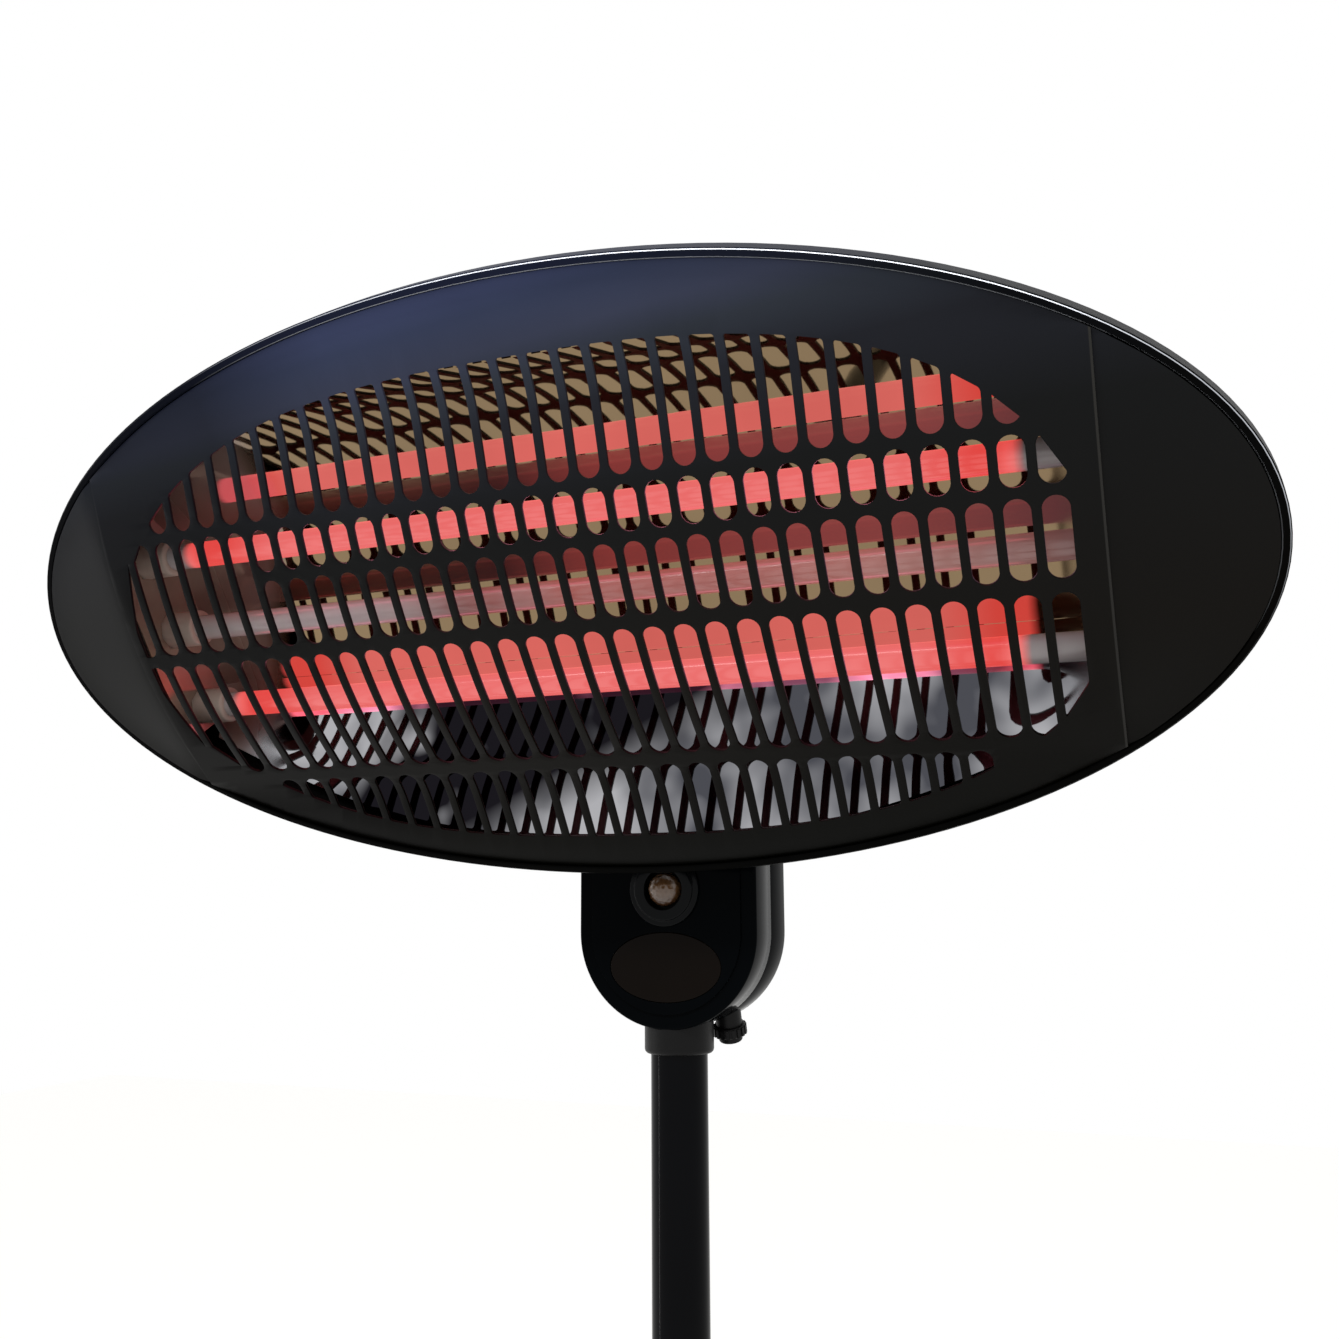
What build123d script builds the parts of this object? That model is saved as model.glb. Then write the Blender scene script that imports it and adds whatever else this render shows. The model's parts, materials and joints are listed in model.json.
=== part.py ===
from build123d import *
import math
import os

# Free-standing infrared patio heater, in millimetres.
# The origin is the centre of the base's underside, +Z is up and the heater faces -Y.

# ---- overall ----
pivot_z = 1750.0         # tilt pivot above the floor at the rest height of the pole
tilt = 34.5              # degrees that the face looks down at rest
face_ahead = 132.0       # crown of the grille ahead of the pole's axis, level with the pivot
sheet = 1.2              # painted steel sheet

# ---- oval head: x across, s up the face, n out of the face ----
rim_a = 255.0            # half width and half height of the rim
rim_b = 125.6
cover_a = 251.5          # front cover, inside the rim's lip
cover_b = 122.0
crown_s = 2.8            # the crown lies this far above the oval's centre
rim_n = -14.0            # flat edge of the cover, behind the crown
crown_radius = 215.0     # round middle of the face
crown_half = 55.0        # it turns straight this far from the middle
fold_lines = (-81.0, -70.0, -38.0, -6.0, 26.6, 47.0, 81.0)
seam_x = 200.3           # the centre panel laps over the end caps here
lap = 4.0                # width of the lap
lip_n = -12.4            # front of the housing's lip round the cover
cap_fall = 0.25          # how fast the end caps slope back

# ---- grille slots ----
slot_pitch = 12.243
slot_width = 9.0
slot_columns = range(-16, 16)
slot_shift = 1.9         # column 0 stands this far right of the middle
slot_rows = ((-120.0, -72.8), (-67.2, -8.5), (-3.7, 24.8), (28.4, 45.3), (48.7, 120.0))
long_columns = range(-16, -10)   # here the third and fourth rows run together
grille_a = 196.0         # the slots stop on this soft-cornered oval
grille_b = 101.0
grille_s = -6.4
grille_power = 2.55      # 2 is a plain oval, more is squarer
grille_sides = 36
slot_least = 14.0        # area of the smallest slot left open
slot_flats = 3           # flats in a slot's round end

# ---- heating tubes and reflector ----
tube_rows = {"upper": 30.1, "middle": -3.8, "lower": -42.8}
tube_n = -32.0
tube_radius = 5.5
tube_bore = 4.5
tube_half = 196.0
coil_radius = 3.4
coil_half = 176.0
lead_radius = 0.8
cap_radius = 8.0
cap_start = 190.0
cap_shoulder = 208.0
cap_neck_radius = 5.5
cap_end = 214.0
end_x = 206.0            # polished end plates of the reflector
reflector_sheet = 0.8
reflector_a = 231.0      # its corners are cut to this oval
reflector_b = 103.0
back_n = -52.0           # flat back of the reflector
back_s = (-40.3, 36.5)
wing_s = (-97.0, 93.0)   # its wings rise to the front
wing_n = -20.0
wing_flange = 9.0
end_half = 46.5          # foot of the end plates, drawn in to clear the dish
end_lower = 53.0         # their lower edge, past the lowest tube

# ---- rear housing and hinge ----
dish = ((255.0, 125.6, -22.0), (244.0, 113.5, -38.0), (227.0, 95.0, -58.0), (205.0, 75.0, -72.0))
dish_wall = 1.5
pivot_s = crown_s - face_ahead * math.sin(math.radians(tilt))   # tilt pivot seen from the head
pivot_n = -face_ahead * math.cos(math.radians(tilt))
ear_gap = 13.5           # inside face of the bracket's ears
ear_sheet = 2.5
ear_radius = 13.0
bolt_radius = 4.0
run = 0.05               # running clearance on a radius

# ---- neck ----
neck_half = 42.0
neck_front = -16.0
neck_rear = 28.0
neck_split = 6.0
neck_top = pivot_z - 40.0
neck_arc = pivot_z - 124.0
neck_wall = 2.5
plate_half = 35.25
plate_proud = 1.2
ring_radius = 16.3
dome_z = pivot_z - 105.0
dome_radius = 7.7
dome_proud = 6.0
window_z = pivot_z - 138.9
window_a = 26.35
window_b = 15.35
collar_radius = 15.5
collar_bottom = pivot_z - 177.0
gland_x = 17.0
gland_y = 18.0
gland_z = pivot_z - 162.0
gland_lean = 18.0        # degrees that it points back from straight down
gland_bore = 3.6
switch_z = 1660.0
rocker_lean = 7.0        # the rocker rests pressed at its lower end

# ---- pole and clamp ----
pole_radius = 12.7
pole_wall = 1.2
pole_top = 1612.0
pole_foot = 740.0
mast_radius = 16.0
mast_bore = 14.5
mast_foot = 16.0
mast_top = 1000.0
clamp_radius = 22.0
clamp_top = 1040.0
clamp_foot = 978.0
screw_z = 1024.0
screw_radius = 4.0

# ---- base ----
weight_radius = 215.0
weight_low = 8.0
weight_top = 16.0
skirt_radius = 230.0
socket_radius = 20.0
flange_radius = 60.0
bolt_ring = 45.0
foot_ring = 185.0

# ---- flats that stand for rounds ----
oval_sides = 32
base_sides = 28
mid_sides = 14
small_sides = 8
tube_sides = 10
neck_flats = 12

os.makedirs("parts", exist_ok=True)
head_turn = math.radians(tilt)
up_face = Vector(0, -math.sin(head_turn), math.cos(head_turn))
head_plane = Plane(
    origin=Vector(0, -face_ahead, pivot_z) - up_face * crown_s,
    x_dir=(1, 0, 0),
    z_dir=(0, -math.cos(head_turn), -math.sin(head_turn)),
)
side_plane = Plane(origin=(0, 0, 0), x_dir=(0, 1, 0), z_dir=(1, 0, 0))


def save(name, *pieces):
    solids = []
    for piece in pieces:
        solids += piece.solids()
    part = solids[0] if len(solids) == 1 else Compound(children=solids)
    export_step(part, "parts/" + name + ".step")


def save_head(name, *pieces):
    save(name, *[head_plane.location * piece for piece in pieces])


def disc(radius, sides=0, hole=False):
    """a circle, or flats inside it on a small piece; the flats of a hole stay outside it"""
    if not sides:
        return Circle(radius)
    return RegularPolygon(radius, sides, major_radius=not hole)


def rod(radius, low, high, bore=0.0, sides=0):
    """a round bar or tube up the Z axis"""
    bar = extrude(disc(radius, sides), high - low)
    if bore:
        bar -= extrude(disc(bore, sides, hole=True), high - low)
    return Pos(0, 0, low) * bar


def drill(radius, low, high, sides=0):
    """what a hole up the Z axis takes away"""
    return Pos(0, 0, low) * extrude(disc(radius, sides, hole=True), high - low)


def across(radius, low, high, bore=0.0, sides=0):
    """a round bar or tube along the X axis"""
    return Rot(0, 90, 0) * rod(radius, low, high, bore, sides)


def drill_across(radius, low, high, sides=0):
    return Rot(0, 90, 0) * drill(radius, low, high, sides)


def oval_points(a, b, sides):
    """points of an oval outline in even steps of angle"""
    step = 2 * math.pi / sides
    return [(a * math.cos(step * i), b * math.sin(step * i)) for i in range(sides)]


def oval(a, b):
    return Polygon(*oval_points(a, b, oval_sides), align=None)


def stacked(stations, sides):
    """a solid through oval stations (a, b, height), with flat facets between them"""
    rings = [[(x, y, z) for x, y in oval_points(a, b, sides)] for a, b, z in stations]
    faces = [Face(Wire.make_polygon(rings[0])), Face(Wire.make_polygon(rings[-1]))]
    for (a, b, _), (c, d, _), low, high in zip(stations, stations[1:], rings, rings[1:]):
        similar = abs(a * d - b * c) < 1e-6 * a * b
        for i in range(sides):
            j = (i + 1) % sides
            if similar:
                faces.append(Face(Wire.make_polygon([low[i], low[j], high[j], high[i]])))
            else:
                faces.append(Face(Wire.make_polygon([low[i], low[j], high[j]])))
                faces.append(Face(Wire.make_polygon([low[i], high[j], high[i]])))
    return Part() + Solid(Shell(faces))


def turned(stations, sides):
    """a turned piece through (radius, height) stations"""
    return stacked([(r, r, z) for r, z in stations], sides)


def oval_block(a, b, low, high):
    return Pos(0, 0, low) * extrude(oval(a, b), high - low)


def section(points, low, high):
    """a flat outline in the s-n or Y-Z plane, drawn out along X"""
    outline = side_plane.location * Polygon(*points, align=None)
    return Pos(low, 0, 0) * extrude(outline, high - low, dir=(1, 0, 0))


def screws(places, head_radius, head_height, shank_radius, shank):
    """screws with their heads up, one at each place"""
    head = extrude(RegularPolygon(head_radius, 6), head_height)
    stem = Pos(0, 0, -shank) * extrude(RegularPolygon(shank_radius, 6), shank)
    return [place * (head + stem) for place in places]


def ring_places(radius, count, z):
    step = 360.0 / count
    return [Rot(0, 0, step * (i + 0.5)) * Pos(radius, 0, z) for i in range(count)]


# ---- base ----

def make_base():
    plate = rod(weight_radius, weight_low, weight_top, sides=base_sides)
    for place in ring_places(bolt_ring, 4, weight_low):
        plate -= place * drill(4.1, 0, weight_top - weight_low, 6)
    save("base_plate", plate)

    # moulded cover: skirt, soft shoulder, shallow cone and a raised neck round the mast
    shape = [(skirt_radius, 3), (skirt_radius, 17), (skirt_radius - 8, 26), (62, 40), (26, 58)]
    cover = turned(shape, base_sides) - drill(weight_radius + 1, 2, weight_top, base_sides)
    inside = [(weight_radius - 3, weight_top - 0.1), (weight_radius - 3, 23), (59, 37.2)]
    inside += [(socket_radius + 0.5, 55), (socket_radius + 0.5, 59)]
    save("base_cover", cover - turned(inside, base_sides))

    foot = turned([(17, 0), (20, weight_low)], small_sides)
    save("base_feet", *[place * foot for place in ring_places(foot_ring, 4, 0)])

    socket = rod(flange_radius, weight_top, weight_top + 5, sides=mid_sides)
    socket += rod(socket_radius, weight_top, 100, sides=mid_sides)
    socket -= drill(mast_radius + run, weight_top, 101, mid_sides)
    for place in ring_places(bolt_ring, 4, weight_top):
        socket -= place * drill(4.1, 0, 6, 6)
    socket -= Pos(0, 0, 80) * Rot(-90, 0, 0) * drill(3.05, 0, 30, 6)
    save("pole_socket", socket)

    bolts = screws(ring_places(bolt_ring, 4, weight_top + 5), 7.0, 5.0, 3.9, 12.5)
    save("socket_bolts", *bolts)
    grub = Pos(0, mast_radius, 80) * Rot(-90, 0, 0) * extrude(RegularPolygon(2.9, 6), 6.5)
    save("socket_screw", grub)


# ---- mast, clamp and pole ----

def star(radius, thickness):
    """a hand knob with six flat-topped lobes"""
    points = []
    for lobe in range(6):
        for reach, turn in ((1.0, -13), (1.0, 13), (0.76, 23), (0.76, 37)):
            a = math.radians(60 * lobe + turn)
            points.append((reach * radius * math.cos(a), reach * radius * math.sin(a)))
    return extrude(Polygon(*points, align=None), thickness)


def make_pole():
    mast = rod(mast_radius, mast_foot, mast_top)
    save("lower_pole", mast - drill(mast_bore, mast_foot, mast_top, mid_sides))
    bush = rod(mast_bore - 0.1, 955, mast_top, sides=mid_sides)
    bush += rod(mast_radius, mast_top, mast_top + 3, sides=mid_sides)
    save("pole_bush_top", bush - drill(pole_radius + run, 950, mast_top + 4, mid_sides))

    # clamp: round sleeve over the end of the mast, with a boss for its screw
    outside = [(clamp_radius, clamp_foot), (clamp_radius, clamp_top - 3), (clamp_radius - 3, clamp_top)]
    sleeve = turned(outside, mid_sides)
    sleeve += Pos(0, 0, screw_z) * across(11, 0, 34, sides=small_sides)
    sleeve -= drill(mast_radius + run, clamp_foot, mast_top + 3, mid_sides)
    sleeve -= drill(pole_radius + 0.4, mast_top, clamp_top, mid_sides)
    sleeve -= Pos(0, 0, screw_z) * drill_across(screw_radius + run, 0, 40, small_sides)
    save("clamp_collar", sleeve)

    screw = Pos(0, 0, screw_z) * across(screw_radius, pole_radius + 0.4, 56)
    save("clamp_screw", screw)
    knob = star(22, 16) + rod(10, -7, 0, sides=small_sides)
    knob -= drill(screw_radius, -7, 9, small_sides)
    save("height_knob", Pos(47, 0, screw_z) * Rot(0, 90, 0) * knob)

    pole = rod(pole_radius, pole_foot, pole_top)
    save("upper_pole", pole - drill(pole_radius - pole_wall, pole_foot, pole_top, mid_sides))
    slug = rod(mast_bore - run, pole_foot - 25, pole_foot, sides=mid_sides)
    slug += rod(pole_radius - pole_wall - 0.1, pole_foot, pole_foot + 30, sides=mid_sides)
    save("pole_end_bush", slug - drill(8, pole_foot - 26, pole_foot + 31, small_sides))


# ---- neck ----

def neck_block(inset, top, front, rear):
    """straight sides with a half-round bottom of flats, seen from the front"""
    half = neck_half - inset
    points = [(half, top - neck_arc), (-half, top - neck_arc)]
    for i in range(neck_flats + 1):
        a = math.pi * (1 + i / neck_flats)
        points.append((half * math.cos(a), half * math.sin(a)))
    outline = Pos(0, rear, neck_arc) * Rot(90, 0, 0) * Polygon(*points, align=None)
    return extrude(outline, rear - front, dir=(0, -1, 0))


def facing(x, y, z, piece):
    """turns a piece built up +Z so that it faces -Y"""
    return Pos(x, y, z) * Rot(90, 0, 0) * piece


def make_neck_shells():
    inner_top = neck_top - neck_wall
    hollow = neck_block(neck_wall, inner_top, neck_front + neck_wall, neck_rear - neck_wall)
    hollow += Pos(0, 0, neck_top - 5) * Box(24.4, 28.4, 20)
    hollow += drill(collar_radius, collar_bottom, pole_top + 4, mid_sides)
    gland_place = Pos(gland_x, gland_y, gland_z) * Rot(gland_lean, 0, 0)

    front = neck_block(0, neck_top, neck_front, neck_split)
    front = chamfer(front.edges().group_by(Axis.Y)[0], 2.6) - hollow
    front -= facing(0, neck_front + 4, dome_z, drill(dome_radius + 1, 0, 6, mid_sides))
    save("neck_shell_front", front)

    rear = neck_block(0, neck_top, neck_split, neck_rear)
    rear = chamfer(rear.edges().group_by(Axis.Y)[-1], 2.6) - hollow
    rear -= Pos(0, neck_rear, switch_z) * Box(19, 12, 13)
    rear -= gland_place * drill(6.05, -13, 12, small_sides)
    places = [Pos(x, neck_rear, z) * Rot(-90, 0, 0) for x in (-30, 30) for z in (1626, 1696)]
    for place in places:
        rear -= place * drill(1.7, -4, 1, 6)
    save("neck_shell_rear", rear)
    save("neck_screws", *screws(places, 3.4, 1.9, 1.6, 6))

    # cable gland under the rear shell
    gland = rod(6, -5, 11, sides=small_sides) + rod(8, -9, -4, sides=6)
    gland += rod(5.6, -12, -9, sides=small_sides)
    save("cable_gland", gland_place * (gland - rod(gland_bore, -12, 11)))


def make_neck_front():
    face = neck_front
    plate = neck_block(neck_half - plate_half, neck_top - 6, face - plate_proud, face)
    plate -= facing(0, face, dome_z, rod(ring_radius - 0.5, 0, 5, sides=mid_sides))
    plate -= facing(0, face, window_z, extrude(oval(window_a, window_b), 5))
    save("face_plate", plate)

    ring = rod(ring_radius, 0, 1.2, sides=mid_sides) + rod(ring_radius - 2.5, 0, 2.4, sides=mid_sides)
    ring -= drill(dome_radius + 1.1, 0, 3, mid_sides)
    save("lens_ring", facing(0, face - plate_proud, dome_z, ring))
    arc = [math.radians(a) for a in (0, 30, 55, 75)]
    stations = [(dome_radius * math.cos(a), dome_radius * math.sin(a)) for a in arc]
    dome = turned([(dome_radius, -6)] + stations, mid_sides)
    save("lens_dome", facing(0, face - dome_proud + dome_radius - plate_proud, dome_z, dome))
    window = extrude(oval(window_a - 0.2, window_b - 0.2), plate_proud)
    save("window_oval", facing(0, face, window_z, window))


def make_neck_inside():
    # cast lug on top, held between the ears of the head's bracket
    foot_z = neck_top - neck_wall - 4
    lug_half = ear_gap - 1.5
    crest = []
    for i in range(9):
        a = math.radians(22.5 * i)
        crest.append((14 * math.cos(a), pivot_z + 14 * math.sin(a)))
    lug = section(crest + [(-14, foot_z), (14, foot_z)], -lug_half, lug_half)
    lug += Pos(0, 4, foot_z + 2) * Box(56, 34, 4)
    lug -= Pos(0, 0, pivot_z) * across(bolt_radius + run, -20, 20)
    save("tilt_lug", lug)
    washers = []
    for low in (-ear_gap + 0.05, lug_half):
        washer = across(12, low, low + 1.45, bolt_radius + run, sides=small_sides)
        washers.append(Pos(0, 0, pivot_z) * washer)
    save("friction_washers", *washers)

    # collar: a blind sleeve over the end of the pole, with a chamfered mouth
    mouth = [(collar_radius - 2, collar_bottom), (collar_radius, collar_bottom + 2)]
    collar = turned(mouth + [(collar_radius, pole_top + 4)], mid_sides)
    collar -= drill(pole_radius + run, collar_bottom, pole_top + 0.5, mid_sides)
    save("neck_collar", collar)

    board = Pos(0, 2, 1668) * Box(62, 1.6, 56)
    for x in (-16, 16):
        board += Pos(x, 8, 1682) * Box(19, 13, 15)
    save("control_board", board + Pos(0, 5, 1650) * Box(30, 6, 12))
    save("tip_switch", Pos(-24, 12, 1638) * Box(14, 14, 20))

    frame = Pos(0, neck_rear + 1, switch_z) * (Box(25, 2, 19) - Box(19.2, 4, 13.2))
    box = Pos(0, neck_rear - 5, switch_z) * (Box(19, 10, 13) - Pos(0, 2, 0) * Box(16.6, 10, 10.6))
    save("switch_bezel", frame, box)
    rocker = Pos(0, 1, 0) * Box(16, 5, 9.4) + across(2, -8, 8)
    save("switch_rocker", Pos(0, neck_rear - 2, switch_z) * Rot(rocker_lean, 0, 0) * rocker)


# ---- head: front cover ----

def crown(s):
    """height of the folded face at s: round middle, straight flanks, flat edge"""
    half = min(abs(s), crown_half)
    chord = math.sqrt(crown_radius**2 - crown_half**2)
    drop = crown_radius - math.sqrt(crown_radius**2 - half**2)
    drop += (abs(s) - half) * crown_half / chord
    return max(-drop, rim_n)


def face_line(lower):
    """the folded face from edge to edge, lowered by some depth"""
    stations = (-130.0,) + fold_lines + (130.0,)
    return [(s, crown(s) - lower) for s in stations]


def make_slot(x, low, high):
    """outline of one slot: straight sides and ends of a few flats"""
    r = slot_width / 2
    points = []
    for centre, first in ((high - r, 0.0), (low + r, math.pi)):
        for i in range(slot_flats + 1):
            a = first + math.pi * i / slot_flats
            points.append((x + r * math.cos(a), centre + r * math.sin(a)))
    return Polygon(*points, align=None)


def grille_window():
    """the oval with soft corners that the slots stop on"""
    points = []
    for x, s in oval_points(1.0, 1.0, grille_sides):
        wide = math.copysign(abs(x) ** (2 / grille_power), x)
        high = math.copysign(abs(s) ** (2 / grille_power), s)
        points.append((grille_a * wide, grille_s + grille_b * high))
    return Polygon(*points, align=None)


def make_grille_slots():
    outlines = []
    for k in slot_columns:
        rows = list(slot_rows)
        if k in long_columns:
            rows[2:4] = [(slot_rows[2][0], slot_rows[3][1])]
        for low, high in rows:
            outlines.append(make_slot(slot_shift + k * slot_pitch, low, high))
    opened = (Sketch() + outlines) & grille_window()
    return [face for face in opened.faces() if face.area > slot_least]


def make_front_panel():
    under = face_line(sheet)
    under.reverse()
    band = section(face_line(0.0) + under, -seam_x, seam_x)
    panel = band & oval_block(cover_a, cover_b, -40, 10)
    cutters = [extrude(Pos(0, 0, -25) * face, 30, dir=(0, 0, 1)) for face in make_grille_slots()]
    save_head("front_panel", panel - cutters)


def cap_block(depth, floor, start):
    """the space under an end cap's skin, down to a floor"""
    outline = face_line(depth + sheet + 0.05) + [(130.0, floor), (-130.0, floor)]
    block = section(outline, start, seam_x)
    slope = side_plane.location * Polygon(*outline, align=None)
    block += Pos(seam_x, 0, 0) * extrude(slope, 62, dir=(1, 0, -cap_fall))
    edge = Pos(seam_x + 35, 0, (rim_n - depth + floor) / 2) * Box(70, 300, rim_n - depth - floor)
    return (block + edge) & oval_block(cover_a, cover_b, -90, 10)


def make_end_caps():
    right = cap_block(0.0, -40.0, seam_x - lap) - cap_block(sheet, -70.0, seam_x - lap - 1)
    save_head("end_cap_right", right)
    save_head("end_cap_left", mirror(right, about=Plane.YZ))


# ---- head: tubes and reflector ----

def make_tubes():
    for row, s in tube_rows.items():
        place = Pos(0, s, tube_n)
        tube = across(tube_radius, -tube_half, tube_half, tube_bore, sides=tube_sides)
        save_head("quartz_tube_" + row, place * tube)
        coil = across(coil_radius, -coil_half, coil_half, sides=8)
        coil += across(lead_radius, -tube_half, tube_half, sides=4)
        save_head("heating_coil_" + row, place * coil)
        cap = across(cap_radius, cap_start, cap_shoulder, sides=small_sides)
        cap += across(cap_neck_radius, cap_shoulder, cap_end, sides=small_sides)
        cap -= drill_across(tube_radius, cap_start, tube_half + 0.2, tube_sides)
        save_head("tube_cap_" + row + "_right", place * cap)
        save_head("tube_cap_" + row + "_left", place * mirror(cap, about=Plane.YZ))


def wing_line(s):
    """depth of the reflector's bright side at s"""
    inner, outer = (back_s[0], wing_s[0]) if s < 0 else (back_s[1], wing_s[1])
    rise = (wing_n - back_n) / (outer - inner)
    return back_n + max(0.0, rise * (s - inner))


def make_reflector():
    bright = [(wing_s[0] - wing_flange, wing_n), (wing_s[0], wing_n), (back_s[0], back_n)]
    bright += [(back_s[1], back_n), (wing_s[1], wing_n), (wing_s[1] + wing_flange, wing_n)]
    behind = [(s, n - reflector_sheet) for s, n in bright]
    behind.reverse()
    trough = section(bright + behind, -end_x, end_x)
    save_head("reflector", trough & oval_block(reflector_a, reflector_b, -80, 0))

    half = end_half
    outline = [(-end_lower, -18), (-end_lower, -42), (-half, wing_line(-half)), (back_s[0], back_n)]
    outline += [(back_s[1], back_n), (half, wing_line(half)), (half, -18), (38, -13), (-38, -13)]
    plate = section(outline, end_x, end_x + reflector_sheet)
    keeper = section([(-54, -38), (-54, -26), (42, -26), (42, -38)], cap_shoulder + 0.2, cap_shoulder + 1.4)
    for s in tube_rows.values():
        plate -= Pos(0, s, tube_n) * drill_across(cap_radius, end_x - 1, end_x + 3, small_sides)
        keeper -= Pos(0, s, tube_n) * drill_across(cap_neck_radius, end_x, end_x + 9, small_sides)
    for s in (13.0, -23.0):
        keeper += Pos((end_x + cap_shoulder) / 2 + 0.8, s, tube_n) * Box(2.0, 8, 8)
    save_head("reflector_end_right", plate)
    save_head("reflector_end_left", mirror(plate, about=Plane.YZ))
    save_head("cap_retainer_right", keeper)
    save_head("cap_retainer_left", mirror(keeper, about=Plane.YZ))

    block = Pos(0, 12, back_n - reflector_sheet - 7) * Box(58, 16, 13.8)
    for x in (-18, 0, 18):
        block -= Pos(x, 12, back_n - 10) * Box(8, 20, 5)
    save_head("terminal_block", block)


# ---- head: rear housing, bracket and tilt clamp ----

def dish_block(shrink, rise, front):
    """space inside the rear housing's outline, shrunk by the wall"""
    stations = [(rim_a - shrink, rim_b - shrink, front)]
    stations += [(a - shrink, b - shrink, n) for a, b, n in dish[:-1]]
    a, b, n = dish[-1]
    return stacked(stations + [(a - shrink, b - shrink, n + rise)], oval_sides)


def make_rear_housing():
    seat = rim_n - sheet
    back = dish[-1][2]
    shell = dish_block(0, 0, lip_n) - dish_block(dish_wall, dish_wall, seat - sheet)
    shell -= oval_block(cover_a + 0.3, cover_b + 0.3, seat, 0)
    shell -= oval_block(cover_a - 6, cover_b - 6, seat - sheet - 1, 0)

    # two banks of vent slots and a lead hole through the flat back
    for side in (-1, 1):
        for i in range(7):
            shell -= Pos(side * (78 + 14 * i), 8, back) * Box(6, 44, 6)
    shell -= Pos(0, 22, back) * drill(6, -4, 4, small_sides)
    places = [Pos(x, s, back) * Rot(180, 0, 0) for x in (-31, 31) for s in (-60, -24)]
    for place in places:
        shell -= place * drill(2.2, -4, 4, 6)
    # screws through the housing's ledge into the cover's edge
    rim = [(x, s) for x in (-150, 150) for s in (-95, 95)]
    heads = [Pos(x, s, seat - sheet) * Rot(180, 0, 0) for x, s in rim]
    for place in heads:
        shell -= place * drill(1.4, -sheet, 0, 6)
    save_head("rear_housing", shell)
    save_head("cover_screws", *screws(heads, 2.6, 1.8, 1.4, sheet))
    grommet = rod(8.5, -2.4, 0, sides=small_sides) + rod(6, 0, 3, sides=small_sides)
    save_head("cable_grommet", Pos(0, 22, back) * (grommet - drill(3.5, -3, 4, small_sides)))


def make_hinge():
    back = dish[-1][2]
    low_s = pivot_s + 3
    high_s = -14.0
    middle = (low_s + high_s) / 2
    # ears: from the base of the bracket to a round of flats about the pivot
    round_end = []
    for turn in range(200, 381, 30):
        a = math.radians(turn)
        round_end.append((pivot_s + ear_radius * math.cos(a), pivot_n + ear_radius * math.sin(a)))
    outline = [(high_s, back), (low_s, back)] + round_end
    bracket = section(outline, ear_gap, ear_gap + ear_sheet)
    bracket += section(outline, -ear_gap - ear_sheet, -ear_gap)
    bracket += Pos(0, middle, back - 1) * Box(80, high_s - low_s, 2)
    bolt_place = Pos(0, pivot_s, pivot_n)
    bracket -= bolt_place * drill_across(bolt_radius + run, -30, 30, small_sides)
    places = [Pos(x, s, back - 2) * Rot(180, 0, 0) for x in (-31, 31) for s in (-60, -24)]
    for place in places:
        bracket -= place * drill(2.2, -4, 1, 6)
    save_head("head_bracket", bracket)
    save_head("bracket_screws", *screws(places, 4.4, 2.6, 2.2, 5))

    outside = ear_gap + ear_sheet
    bolt = across(bolt_radius, -outside, 38)
    bolt += across(7.5, -outside - 5.3, -outside, sides=6)
    save_head("pivot_bolt", bolt_place * bolt)
    knob = rod(10, 0, 9, sides=small_sides) + Pos(0, 0, 8) * star(20, 15)
    knob -= drill(bolt_radius + run, 0, 38.5 - outside - 0.3, small_sides)
    save_head("tilt_knob", bolt_place * Pos(outside + 0.3, 0, 0) * Rot(0, 90, 0) * knob)


make_base()
make_pole()
make_neck_shells()
make_neck_front()
make_neck_inside()
make_front_panel()
make_end_caps()
make_tubes()
make_reflector()
make_rear_housing()
make_hinge()
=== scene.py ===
import json
import math

import bmesh
import bpy
from mathutils import Matrix, Vector


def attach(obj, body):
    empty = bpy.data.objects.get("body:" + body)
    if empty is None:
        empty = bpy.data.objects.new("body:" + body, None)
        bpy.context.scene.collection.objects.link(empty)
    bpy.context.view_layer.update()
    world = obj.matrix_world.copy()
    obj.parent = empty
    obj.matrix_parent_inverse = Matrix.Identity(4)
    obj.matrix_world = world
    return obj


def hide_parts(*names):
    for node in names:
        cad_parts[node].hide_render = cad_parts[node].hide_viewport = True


# Free-standing infrared patio heater. Metres, +Z up, the heater faces -Y.

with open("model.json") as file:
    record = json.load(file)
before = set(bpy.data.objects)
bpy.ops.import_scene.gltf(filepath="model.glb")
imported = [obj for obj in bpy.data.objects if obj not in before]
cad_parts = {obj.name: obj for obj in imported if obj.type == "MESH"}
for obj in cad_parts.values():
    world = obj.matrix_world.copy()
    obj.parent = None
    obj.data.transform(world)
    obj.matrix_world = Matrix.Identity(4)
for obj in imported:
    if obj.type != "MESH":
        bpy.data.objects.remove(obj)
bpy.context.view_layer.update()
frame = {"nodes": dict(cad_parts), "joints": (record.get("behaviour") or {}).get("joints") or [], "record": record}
print("frame loaded:", len(frame["nodes"]), "nodes")

bpy.context.scene.view_settings.view_transform = "Standard"

cameraView = {
    "spot": (0.2189, -0.5646, 1.6460),
    "yaw": 21.52,      # turned this far to the left of straight ahead
    "pitch": 9.42,     # and up
    "roll": -0.33,
    "lens": 35.23,
    "sensor": 36.0,
}


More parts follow.
